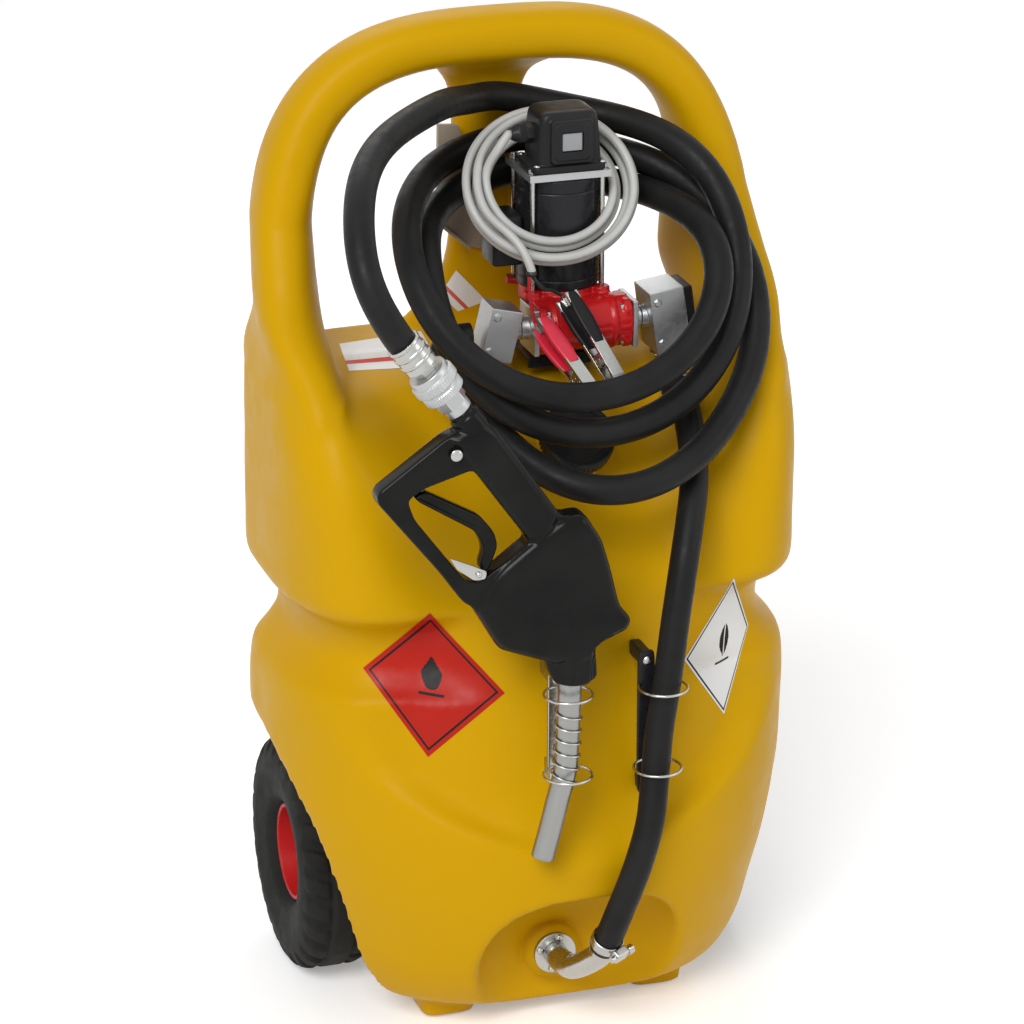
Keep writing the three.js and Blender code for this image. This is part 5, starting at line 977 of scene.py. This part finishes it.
# Port fittings: plates with collars and leaning blocks in cast aluminium, screwed to the pump's
# flanges, with a black side cover and a plated union; the hose hook is coated steel on the web.
beige = finish("beige coated steel", (0.36, 0.30, 0.23), 0.5, grain=800, bump=0.08)
for node, width in (("inlet_flange", 0.0014), ("outlet_flange", 0.0014), ("inlet_block", 0.0028),
                    ("outlet_block", 0.0028)):
    dressed(node, cast, "cast_aluminium", width)
dressed("inlet_block_cover", plain_black, "black_plastic", 0.0022)
dressed("inlet_union", zinc, "zinc_steel", 0.0010)
dressed("hose_hook", beige, "beige_steel", 0.0014)

# Hoses on the body: the smooth black suction hose from the pump down to the drain, with its cast
# elbow at the top, the plated elbow at the drain, and the black bend at the outlet.
suction_route = [(0.1455, -0.0217, 0.6828), (0.1452, -0.0359, 0.6778), (0.1450, -0.0572, 0.6720),
                 (0.1420, -0.0912, 0.6410), (0.1330, -0.1252, 0.6080), (0.1180, -0.1552, 0.5760),
                 (0.1050, -0.1752, 0.5410), (0.0910, -0.1892, 0.4810), (0.0800, -0.1972, 0.4190),
                 (0.0700, -0.2022, 0.3660), (0.0620, -0.2122, 0.3160), (0.0540, -0.2222, 0.2740),
                 (0.0400, -0.2242, 0.2250), (0.0230, -0.2132, 0.1660), (0.0180, -0.2012, 0.1380),
                 (0.0150, -0.1902, 0.1190)]
elbow_route = [(0.1460, 0.0028, 0.7031), (0.1460, 0.0026, 0.6960), (0.1459, -0.0020, 0.6890),
               (0.1457, -0.0120, 0.6850), (0.1455, -0.0214, 0.6829)]
drain_route = [(-0.0150, -0.1208, 0.0840), (-0.0150, -0.1335, 0.0840), (-0.0083, -0.1543, 0.0830),
               (0.0132, -0.1837, 0.1079), (0.0150, -0.1901, 0.1187)]
outlet_route = [(-0.0700, 0.0008, 0.7459), (-0.0804, 0.0008, 0.7459), (-0.0849, -0.0004, 0.7462),
                (-0.0893, -0.0021, 0.7458), (-0.0934, -0.0041, 0.7448), (-0.0971, -0.0065, 0.7432),
                (-0.1003, -0.0091, 0.7411), (-0.1029, -0.0121, 0.7386), (-0.1048, -0.0153, 0.7357),
                (-0.1060, -0.0186, 0.7326), (-0.1078, -0.0235, 0.7279)]
for node, route, radius, guide, spacing, sides, surface, slot_name in (
    ("suction_hose", suction_route, 0.015, (1, 0, 0), 0.005, 40, black_rubber, "black_rubber"),
    ("inlet_elbow", elbow_route, 0.0105, (1, 0, 0), 0.001, 40, zinc, "zinc_steel"),
    ("drain_elbow", drain_route, 0.0132, (1, 0, 0.3), 0.0015, 56, zinc, "zinc_steel"),
    ("outlet_elbow", outlet_route, 0.014, coil_out, 0.0015, 40, plain_black, "black_plastic"),
):
    rings = carried(smooth_path(route, spacing), circle(radius, sides), guide)
    dress(skin(f"{node}_skin", rings), surface, slot_name, "tank", node)

# Drain flange: a zinc-plated ring on the boss of the alcove, held by four hexagon screws; the elbow
# leaves through its neck.
flange_rows = [(-0.0056, 0.0135), (-0.0003, 0.0140), (-0.0003, 0.0230), (0.005, 0.0230),
               (0.005, 0.0150), (0.0052, tip)]
flange = turned("drain_flange_skin", flange_rows, (drain_x, -0.1155, drain_z), (0, -1, 0))
screws = [bar("screw", 0.004, 0.003, (drain_x + dx, -0.1205, drain_z + dz), (0, -1, 0),
              sides=36, facets=6, bend=0.0003)
          for dx, dz in ((-0.0175, 0.006), (0.0175, -0.006), (0.004, 0.018), (-0.004, -0.018))]
dress(joined("drain_flange_skin", [flange, *screws]), zinc, "zinc_steel", "tank", "drain_flange")

# Worm-drive hose clamps: a slotted zinc band with a housing and a hexagon screw through it, drawn
# tight round each end of the suction hose.
def worm_clamp(name, centre, way, guide, node):
    """Band outline of (radius, height) turned round the hose, with a rounded block on it and the
    screw laid across."""
    first, second, axis = frame_of(way, guide)
    centre = np.array(centre)
    outline = np.array([[0.0157, -0.006], [0.0157, 0.006], [0.0166, 0.0063], [0.0172, 0.005],
                        [0.0172, -0.005], [0.0166, -0.0063]])
    angle = around(96)[:, None, None]
    round_way = np.cos(angle) * first + np.sin(angle) * second
    band = ring_grid("band", centre + outline[None, :, :1] * round_way
                     + outline[None, :, 1:] * axis)
    block = superbox((-0.005, -0.009, -0.0068), (0.005, 0.009, 0.0068), power=8, sides=32, rows=16)
    housing = skin("housing", centre + 0.0205 * first + block @ np.array([first, second, axis]))
    screw = turned("screw", [(-0.014, tip), (-0.014, 0.0036), (0.011, 0.0036),
                             (0.011, 0.0058, 0, 6), (0.017, 0.0058, 0, 6), (0.017, 0.0035),
                             (0.0165, tip)], centre + 0.0215 * first, second, sides=36, bend=0.0003)
    return dress(joined(name, [band, housing, screw]), zinc, "zinc_steel", "tank", node)


worm_clamp("suction_clamp_upper_skin", (0.1453, -0.0285, 0.6804), (-0.0201, -0.9434, -0.3312),
           (0, -0.33, 0.94), "suction_clamp_upper")
worm_clamp("suction_clamp_lower_skin", (0.0166, -0.1962, 0.1293), (0.1354, -0.4964, 0.8575),
           (0.45, -0.75, -0.5), "suction_clamp_lower")

# Swivel line between hose and nozzle: a zinc-plated ferrule crimped on the hose in four ribs, its
# hexagon neck, and a cast aluminium swivel with two knurled bands and a hexagon.
swivel_at, swivel_way = np.array([-0.2100, -0.2232, 0.8230]), (0.6115, 0, -0.7912)
crimp, rib = 0.0174, 0.0183
ferrule = turned("hose_ferrule_skin", [
    (-0.0002, tip), (-0.0002, 0.0176), (0.003, 0.0182), (0.004, crimp), (0.010, crimp),
    (0.011, rib), (0.013, rib), (0.014, crimp), (0.020, crimp), (0.021, rib), (0.023, rib),
    (0.024, crimp), (0.031, 0.0176), (0.031, 0.0130, 0, 6), (0.0398, 0.0130, 0, 6),
    (0.0398, tip)], swivel_at, swivel_way, sides=192, bend=0.0005)
dress(ferrule, zinc, "zinc_steel", "nozzle", "hose_ferrule")
swivel = turned("swivel_nut_skin", [
    (0.0403, tip), (0.0403, 0.0205), (0.0420, 0.0212), (0.0470, 0.0212), (0.0485, 0.0240, 0.0007),
    (0.0580, 0.0242, 0.0007), (0.0600, 0.0205), (0.0620, 0.0205), (0.0635, 0.0222, 0.0007),
    (0.0710, 0.0222, 0.0007), (0.0730, 0.0165), (0.0735, 0.0168, 0, 6), (0.0850, 0.0168, 0, 6),
    (0.0860, 0.0140), (0.0948, 0.0140), (0.0948, tip)], swivel_at, swivel_way,
    sides=240, bend=0.0005)
dress(swivel, cast, "cast_aluminium", "nozzle", "swivel_nut")

# Nozzle: automatic trigger nozzle in a glossy black moulded shell, with an open guard, a thick grip
# and a heavy head; a collar holds the spout, a stub takes the swivel, and two rivets go through.
nozzle_y, nozzle_span, nozzle_foot = -0.2232, 0.3, [-0.132, 0.576]
nozzle_middle = (0, nozzle_y, 0)


def on_nozzle(shares):
    """Shares of the nozzle's span, from the foot of the lever, as points in the XZ plane."""
    return np.array(shares) * nozzle_span + nozzle_foot


nozzle_outline = [
    (-0.127, 0.487), (0.000, 0.543), (0.047, 0.513), (0.280, 0.170), (0.357, 0.173), (0.383, 0.137),
    (0.423, 0.070), (0.453, -0.030), (0.487, -0.173), (0.530, -0.227), (0.517, -0.263),
    (0.403, -0.310), (0.410, -0.423), (0.393, -0.440), (0.263, -0.440), (0.240, -0.400),
    (0.223, -0.347), (0.060, -0.283), (-0.033, -0.120), (-0.067, -0.097), (-0.147, 0.017),
    (-0.357, 0.283), (-0.360, 0.310), (-0.350, 0.330)]
window_outline = [(-0.197, 0.323), (-0.030, 0.370), (0.167, 0.093), (0.053, 0.010),
                  (-0.013, -0.033), (-0.060, -0.017), (-0.127, 0.073), (-0.233, 0.217),
                  (-0.257, 0.287)]
grip_outline = [(-0.127, 0.487), (0.000, 0.543), (0.047, 0.513), (0.280, 0.170), (0.207, 0.047),
                (0.160, 0.093), (-0.033, 0.370)]
head_outline = [(0.167, 0.093), (0.280, 0.170), (0.357, 0.173), (0.383, 0.137), (0.423, 0.070),
                (0.453, -0.030), (0.487, -0.173), (0.530, -0.227), (0.517, -0.263),
                (0.403, -0.310), (0.400, -0.360), (0.250, -0.360), (0.223, -0.347),
                (0.060, -0.283), (-0.033, -0.120), (0.053, 0.007)]
gloss_black = finish("glossy black nozzle", (0.0055, 0.0055, 0.005), 0.16, grain=600, bump=0.012,
                     mottle=0.3, spread=0.05, blotch=20, specular=0.12)
nozzle_parts = [
    pillow("guard", on_nozzle(nozzle_outline), nozzle_middle, half=0.012, edge=0.0035, bend=0.006),
    pillow("grip", on_nozzle(grip_outline), nozzle_middle, half=0.017, edge=0.012, bend=0.010),
    pillow("head", on_nozzle(head_outline), nozzle_middle, half=0.019, edge=0.011, bend=0.014),
    turned("collar", [(0, tip), (0, 0.0205), (0.010, 0.0205), (0.012, 0.0225, 0, 6),
                      (0.036, 0.0225, 0, 6), (0.040, 0.0195), (0.040, tip)],
           (-0.0315, nozzle_y, 0.4840), (-0.05, 0, -1), sides=72),
    turned("stub", [(0, tip), (0, 0.0140), (0.006, 0.0140), (0.007, 0.0165), (0.026, 0.0165),
                    (0.026, tip)],
           swivel_at + 0.0953 * np.array(swivel_way), swivel_way),
]
window = pillow("window", on_nozzle(window_outline), nozzle_middle, half=0.030, edge=0.001,
                bend=0.006)
nozzle = merged("nozzle_body_skin", nozzle_parts, [window], voxel=0.00145, smooth=3)
dress(nozzle, gloss_black, "black_plastic", "nozzle", "nozzle_body")
rivets = [turned("rivet", [(0, tip), (0, radius), (0.0022, radius), (0.0034, radius * 0.6),
                           (0.0036, tip)], (x, nozzle_y - deep, z), (0, -1, 0), sides=40)
          for x, z, radius, deep in ((-0.137, 0.577, 0.0032, 0.0150),
                                     (-0.160, 0.706, 0.0062, 0.0155))]
dress(joined("nozzle_rivets", rivets), zinc, "zinc_steel", "nozzle")

# Trigger lever: a black moulded lever inside the guard, on a pin in the shell, and the bright
# stamped latch in front that holds it open.
lever_outline = [(-0.230, 0.290), (-0.193, 0.307), (0.000, 0.197), (0.047, 0.137), (0.060, 0.087),
                 (0.043, 0.040), (0.027, 0.003), (0.000, 0.003), (-0.003, 0.030), (0.010, 0.067),
                 (0.003, 0.103), (-0.020, 0.147), (-0.213, 0.270)]
latch_outline = [(-0.117, 0.073), (-0.040, 0.037), (0.013, 0.010), (0.007, -0.017),
                 (-0.033, -0.017), (-0.093, 0.030)]
lever = pillow("nozzle_lever_skin", on_nozzle(lever_outline), nozzle_middle, half=0.008, edge=0.003,
               bend=0.006)
dress(lever, gloss_black, "black_plastic", "lever", "nozzle_lever")
latch = pillow("lever_latch_skin", on_nozzle(latch_outline), (0, nozzle_y - 0.0138, 0),
               half=0.0015, edge=0.0006, bend=0.003)
dress(latch, zinc, "zinc_steel", "latch", "lever_latch")

# Spout: thin aluminium tube with a bend, open at its end and pushed into the collar, and a spring
# of zinc-plated wire wound round its upper half.
spout_radius, bore_radius, spout_sides, lip_share = 0.0123, 0.0107, 48, 0.25
spring_radius, wire_radius, wire_sides = 0.0140, 0.0011, 12
spring_turns, spring_steps, spring_from, spring_to = 6, 40, 0.14, 0.56
spout_metal = finish("spout aluminium", (0.33, 0.33, 0.32), 0.34, metallic=1.0, grain=900,
                     bump=0.01, mottle=0.1, spread=0.1, stretch=(1, 1, 0.15))
spout_line = smooth_path([(-0.0355, nozzle_y, 0.4437), (-0.0355, nozzle_y, 0.4340),
                          (-0.0365, nozzle_y, 0.4100), (-0.0380, nozzle_y, 0.3720),
                          (-0.0400, nozzle_y, 0.3440), (-0.0480, nozzle_y, 0.3120),
                          (-0.0560, nozzle_y, 0.2800), (-0.0640, nozzle_y, 0.2500)], 0.003)
outer = carried(spout_line, circle(spout_radius, spout_sides), (0, 1, 0))
inner = carried(spout_line, circle(bore_radius, spout_sides), (0, 1, 0))
lip = (outer[-1:] + inner[-1:]) / 2 + (spout_line[-1] - spout_line[-2]) * lip_share
spout = ring_grid("nozzle_spout_skin", np.concatenate([outer, lip, inner[::-1]]))
dress(spout, spout_metal, "spout_aluminium", "nozzle", "nozzle_spout")
share = np.linspace(spring_from, spring_to, spring_turns * spring_steps + 1)
axis_points = points_at(spout_line, share * walk_of(spout_line)[-1])
axis_way = np.gradient(axis_points, axis=0)
axis_way /= np.linalg.norm(axis_way, axis=1)[:, None]
sideways = np.stack([-axis_way[:, 2], 0 * axis_way[:, 0], axis_way[:, 0]], -1)
spring_turn = 2 * np.pi * spring_turns * np.linspace(0, 1, len(share))[:, None]
spring_line = (axis_points + spring_radius * np.cos(spring_turn) * sideways
               + spring_radius * np.sin(spring_turn) * np.array([0, 1, 0]))
spring = skin("spout_spring_skin", carried(spring_line, circle(wire_radius, wire_sides), (0, 0, 1)))
dress(spring, zinc, "zinc_steel", "nozzle", "spout_spring")

# Holders on the tank front: a flat bar with two wire rings, one bright for the spout and one black
# for the suction hose; each is screwed on through its bar.
bar_half, bar_thick, pad_half, pad_deep, pad_tall = 0.009, 0.005, 0.006, 0.036, 0.018
ring_radius, ring_wire, ring_sides = 0.025, 0.0015, 72
holder_screw = [(0, tip), (0, 0.0048), (0.0016, 0.0046), (0.0028, 0.0030), (0.0029, tip)]


def holder(node, x, y, low, high, rings, surface, slot):
    """Rounded bar and two pads behind it, with round wire rings on short wire stalks: a ring is a
    small circle carried round a large one, and its stalk starts where it passes the bar."""
    parts = [skin("bar", superbox((x - bar_half, y - bar_thick, low), (x + bar_half, y, high),
                                  power=10, sides=64, rows=48))]
    for bottom in (low, high - pad_tall):
        parts.append(skin("pad", superbox((x - pad_half, y - 0.003, bottom + 0.001),
                                          (x + pad_half, y + pad_deep, bottom + 0.017), power=8)))
    wires = []
    turn_of = around(ring_sides)[:, None, None]
    small = around(wire_sides)[None, :, None]
    for ring_x, ring_y, ring_z in rings:
        reach = ring_radius + ring_wire * np.cos(small)
        wires.append(ring_grid("wire", np.array([ring_x, ring_y, ring_z])
                               + reach * np.cos(turn_of) * np.array([1, 0, 0])
                               + reach * np.sin(turn_of) * np.array([0, 1, 0])
                               + ring_wire * np.sin(small) * np.array([0, 0, 1])))
        back = ring_y + math.sqrt(ring_radius ** 2 - (x - ring_x) ** 2)
        stalk = np.linspace((x, back, ring_z), (x, y - 0.001, ring_z), 4)
        wires.append(skin("stalk", carried(stalk, circle(ring_wire, wire_sides), (0, 0, 1))))
    screw = turned("screw", holder_screw, (x, y - 0.0048, high - 0.010), (0, -1, 0), sides=32,
                   bend=0.0003)
    dress(joined(f"{node}_skin", parts), surface, slot, "tank", node)
    dress(joined(f"{node}_skin_wires", [*wires, screw]), zinc, "zinc_steel", "tank", node)


holder("nozzle_holder", -0.037, -0.1812, 0.318, 0.440,
       [(-0.037, nozzle_y, 0.428), (-0.037, nozzle_y, 0.339)], zinc, "zinc_steel")
holder("hose_holder", 0.062, -0.1792, 0.289, 0.448,
       [(0.075, -0.1992, 0.412), (0.067, -0.2062, 0.326)], motor_black, "black_paint")

# Battery clamps: two toothed jaws of zinc-plated sheet on a pin, each handle in a soft plastic
# sleeve, red or black, slipped over it; the leads end in the handles.
sleeve_red = finish("red clamp sleeve", (0.66, 0.02, 0.05), 0.34, grain=700, bump=0.06, mottle=0.1)
sleeve_half, sleeve_thick, sleeve_from, sleeve_length = 0.0096, 0.0036, -0.0785, 0.062
sleeve_rise, sleeve_close, sleeve_stations, sleeve_sides = 0.0096, 0.0022, 40, 32
sleeve_corner, end_near, end_far, end_power = 0.6, 0.12, 0.35, 0.35
clamp_pieces = {"red": [], "black": []}
for label, pivot, way, flat, upward, jacket, slot_name in (
    ("red", (0.0182, -0.0936, 0.7206), (0.3062, -0.7792, -0.5468), (0.9307, 0.3658, 0),
     (0.2000, -0.5089, 0.8372), sleeve_red, "red_sleeve"),
    ("black", (0.0485, -0.0792, 0.7340), (0.3047, -0.6519, -0.6944), (0.9059, 0.4234, 0),
     (0.2940, -0.6291, 0.7196), plain_black, "black_plastic"),
):
    pivot, way, flat, upward = (np.array(v, float) for v in (pivot, way, flat, upward))
    for half, sign in (("arm", -1), ("jaw", 1)):
        node = f"clamp_{label}_{half}"
        dressed(node, zinc, "zinc_steel", 0.0007, 2)
        share = np.linspace(0, 1, sleeve_stations)[:, None]
        along_arm = (pivot + way * (sleeve_from + sleeve_length * share)
                     + upward * sign * (sleeve_rise - sleeve_close * share))
        ends = np.sin(np.linspace(end_near, np.pi - end_far, sleeve_stations)) ** end_power
        angle = around(sleeve_sides)
        outline = np.stack([sleeve_half * signed_power(np.cos(angle), sleeve_corner),
                            sleeve_thick * signed_power(np.sin(angle), sleeve_corner)], -1)
        rings = along_arm[:, None, :] + ends[:, None, None] * (
            outline[None, :, :1] * flat + outline[None, :, 1:] * upward)
        sleeve = dress(skin(f"{node}_sleeve", rings), jacket, slot_name, body_of_node[node])
        clamp_pieces[label].append(sleeve)

# Decals: thin printed films glued onto the tank: a plain red diamond, a plain white diamond and two
# blank paper labels with a stripe.
tank_tree = BVHTree.FromPolygons(
    [v.co.copy() for v in tank.data.vertices], [tuple(p.vertices) for p in tank.data.polygons])


def decal(name, corners, ray, inks, mark):
    """Grid of straight mixes of four corners, cast along a ray onto the tank and lifted by the
    film's thickness; mark gives each cell its ink from its two shares across the grid."""
    cells, film, run_up, reach = 96, 0.0004, 0.15, 0.4
    a, b, c, d = (np.array(v, float) for v in corners)
    u, v = np.meshgrid(np.linspace(0, 1, cells + 1), np.linspace(0, 1, cells + 1))
    flat = (((1 - u) * (1 - v))[..., None] * a + (u * (1 - v))[..., None] * b
            + (u * v)[..., None] * c + ((1 - u) * v)[..., None] * d)
    ray = Vector(ray).normalized()
    points = []
    for start in flat.reshape(-1, 3):
        hit, normal, _, _ = tank_tree.ray_cast(Vector(start) - ray * run_up, ray, reach)
        if hit is None:
            hit, normal, _, _ = tank_tree.find_nearest(Vector(start))
        points.append(hit + normal * film)
    made = place(name, points, grid_faces(cells + 1, cells + 1, False))
    for ink in inks:
        made.data.materials.append(ink)
    middles = (np.arange(cells) + 0.5) / cells
    inked = mark(*np.meshgrid(middles, middles))
    made.data.polygons.foreach_set("material_index", inked.astype(int).ravel())
    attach(made, "tank")


def on_corner(u, v):
    """Shares turned by 45 degrees: across and up from the middle, and the distance to the edge."""
    cos_45 = 0.7071
    edge = np.minimum(np.minimum(u, 1 - u), np.minimum(v, 1 - v))
    return (u - v) * cos_45, (1 - u - v) * cos_45, edge


def diamond_mark(u, v):
    """Ink 1 on a thin line inside the edge and on a drop over a bar, ink 0 elsewhere. The drop is
    an ellipse about a middle that lies up by drop_at, drawn in towards its tip."""
    drop_at, drop_half, drop_rise, tip_in, tip_rise = 0.10, 0.105, 0.17, 1.6, 0.35
    line_in, line_out, stroke_at, stroke_tall, stroke_half = 0.045, 0.062, -0.115, 0.014, 0.13
    across, up, edge = on_corner(u, v)
    line = (edge > line_in) & (edge < line_out)
    wide = (drop_half * np.sqrt(np.clip(1 - ((up - drop_at) / drop_rise) ** 2, 0, 1))
            * (1 - tip_in * np.clip(up - drop_at, 0, 1) / tip_rise))
    drop = (np.abs(across) < wide) & (up < drop_at + drop_rise)
    stroke = (np.abs(up - stroke_at) < stroke_tall) & (np.abs(across) < stroke_half)
    return line | drop | stroke


def framed_mark(u, v):
    """Ink 1 on a line along the edge and on a leaf over a bar, ink 0 elsewhere. The leaf lies
    between two parabolas and is split by a bare line along its middle."""
    leaf_at, leaf_up, leaf_half, leaf_rise, split = 0.02, 0.05, 0.10, 0.18, 0.010
    line_in, line_out, stroke_at, stroke_tall, stroke_half = 0.02, 0.04, -0.17, 0.014, 0.15
    across, up, edge = on_corner(u, v)
    line = (edge > line_in) & (edge < line_out)
    off_leaf = np.abs(across - leaf_at)
    leaf = off_leaf < leaf_half * np.clip(1 - ((up - leaf_up) / leaf_rise) ** 2, 0, 1)
    stroke = (np.abs(up - stroke_at) < stroke_tall) & (np.abs(across) < stroke_half)
    return line | (leaf & (off_leaf > split)) | stroke


def stripe_mark(u, v):
    """Ink 1 on one stripe along the label."""
    stripe_low, stripe_high = 0.62, 0.76
    return (v > stripe_low) & (v < stripe_high)


red_ink = finish("red decal film", (0.46, 0.018, 0.010), 0.34, grain=500, bump=0.02, mottle=0.05,
                 specular=0.12)
black_ink = finish("black print", (0.015, 0.012, 0.012), 0.38, grain=500, bump=0.02, mottle=0.1,
                   specular=0.12)
white_ink = finish("white decal film", (0.80, 0.80, 0.79), 0.35, grain=500, bump=0.02, mottle=0.03)
stripe_ink = finish("stripe print", (0.62, 0.10, 0.07), 0.4, grain=500, bump=0.02, mottle=0.05)
decal("red_diamond_decal", [(-0.153, -0.1225, 0.4936), (-0.080, -0.1465, 0.4046),
                            (-0.158, -0.1285, 0.3355), (-0.212, -0.076, 0.4217)],
      (0.267, 0.882, -0.387), (red_ink, black_ink), diamond_mark)
decal("white_diamond_decal", [(0.179, -0.1256, 0.4931), (0.215, -0.0771, 0.4169),
                              (0.172, -0.122, 0.3377), (0.125, -0.1251, 0.4069)],
      (0.332, 0.864, -0.379), (white_ink, black_ink), framed_mark)
decal("left_label", [(-0.175, 0.130, 0.707), (-0.080, 0.145, 0.707), (-0.084, 0.064, 0.694),
                     (-0.187, 0.052, 0.703)],
      (0.265, 0.911, -0.316), (white_ink, stripe_ink), stripe_mark)
decal("web_label", [(-0.037, 0.1554, 0.768), (-0.005, 0.149, 0.7325), (-0.037, 0.150, 0.7236),
                    (-0.055, 0.1555, 0.743)],
      (0.285, 0.910, -0.302), (white_ink, stripe_ink), stripe_mark)

# Solids inside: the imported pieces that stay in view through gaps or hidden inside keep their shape
# and take the surface of their slot; the motor's rotor is copper wound.
copper = finish("copper winding", (0.45, 0.17, 0.06), 0.3, metallic=1.0, grain=500, bump=0.2)
kept = {"yellow_plastic": yellow, "black_plastic": plain_black, "black_rubber": black_rubber,
        "tyre_rubber": tyre_black, "red_plastic": rim_red, "red_paint": pump_red,
        "black_paint": motor_black, "zinc_steel": zinc, "cast_aluminium": cast,
        "grey_cable": cable_grey, "red_sleeve": sleeve_red, "grey_plastic": grey_plastic,
        "beige_steel": beige, "copper_wire": copper, "spout_aluminium": spout_metal}
slot_of_node = {entry["node"]: entry["material_slot"] for entry in frame["record"]["subparts"]}
for node, solid in frame["nodes"].items():
    for number in range(len(solid.data.materials)):
        solid.data.materials[number] = kept[slot_of_node[node]]

# Floor and light: a plain pale floor that keeps the shadow, a white surrounding, a soft sun and
# large soft lamps. Floor and surrounding are brighter where they are looked at than as lights.
def seen_level(tree, unseen, seen):
    """Socket with one level for light that falls on things and another for what is looked at."""
    paths = tree.nodes.new("ShaderNodeLightPath")
    looked = paths.outputs["Is Camera Ray"]
    for ray in ("Is Glossy Ray", "Is Transmission Ray"):
        either = tree.nodes.new("ShaderNodeMath")
        either.operation = "MAXIMUM"
        tree.links.new(looked, either.inputs[0])
        tree.links.new(paths.outputs[ray], either.inputs[1])
        looked = either.outputs[0]
    level = tree.nodes.new("ShaderNodeMapRange")
    tree.links.new(looked, level.inputs["Value"])
    level.inputs["To Min"].default_value = unseen
    level.inputs["To Max"].default_value = seen
    return level.outputs["Result"]


floor_half, floor_tone, floor_glow, sky_light = 8, 0.96, 0.3, 0.36
square_corners = ((-1, -1), (1, -1), (1, 1), (-1, 1))
floor_corners = [(x * floor_half, y * floor_half, 0) for x, y in square_corners]
floor = place("floor", floor_corners, [(0, 1, 2, 3)], False)
floor_white = bpy.data.materials.new("floor white")
floor_white.use_nodes = True
chalk = floor_white.node_tree.nodes["Principled BSDF"]
chalk.inputs["Base Color"].default_value = (floor_tone, floor_tone, floor_tone, 1)
chalk.inputs["Roughness"].default_value = 0.9
chalk.inputs["Emission Color"].default_value = (1, 1, 1, 1)
floor_white.node_tree.links.new(seen_level(floor_white.node_tree, 0, floor_glow),
                                chalk.inputs["Emission Strength"])
floor.data.materials.append(floor_white)
world = bpy.data.worlds.new("studio")
bpy.context.scene.world = world
world.use_nodes = True
sky = world.node_tree.nodes["Background"]
sky.inputs["Color"].default_value = (1, 1, 1, 1)
world.node_tree.links.new(seen_level(world.node_tree, sky_light, 1), sky.inputs["Strength"])
lit_point = Vector((0, 0, 0.5))
for name, kind, where, power, size in (
    ("sun", "SUN", (-1.5, -2.4, 3.0), 1.45, 0.5),
    ("key", "AREA", (-1.9, -2.0, 2.4), 20, 1.2),
    ("fill", "AREA", (2.6, -1.8, 1.8), 12, 1.6),
    ("back", "AREA", (0.4, 2.4, 3.0), 22, 2.0),
):
    lamp = bpy.data.objects.new(name, bpy.data.lights.new(name, kind))
    lamp.data.energy = power
    setattr(lamp.data, "angle" if kind == "SUN" else "size", size)
    lamp.location = where
    lamp.rotation_mode = "QUATERNION"
    lamp.rotation_quaternion = (lit_point - Vector(where)).to_track_quat("-Z", "Y")
    bpy.context.scene.collection.objects.link(lamp)
bpy.context.scene.view_settings.view_transform = "Standard"
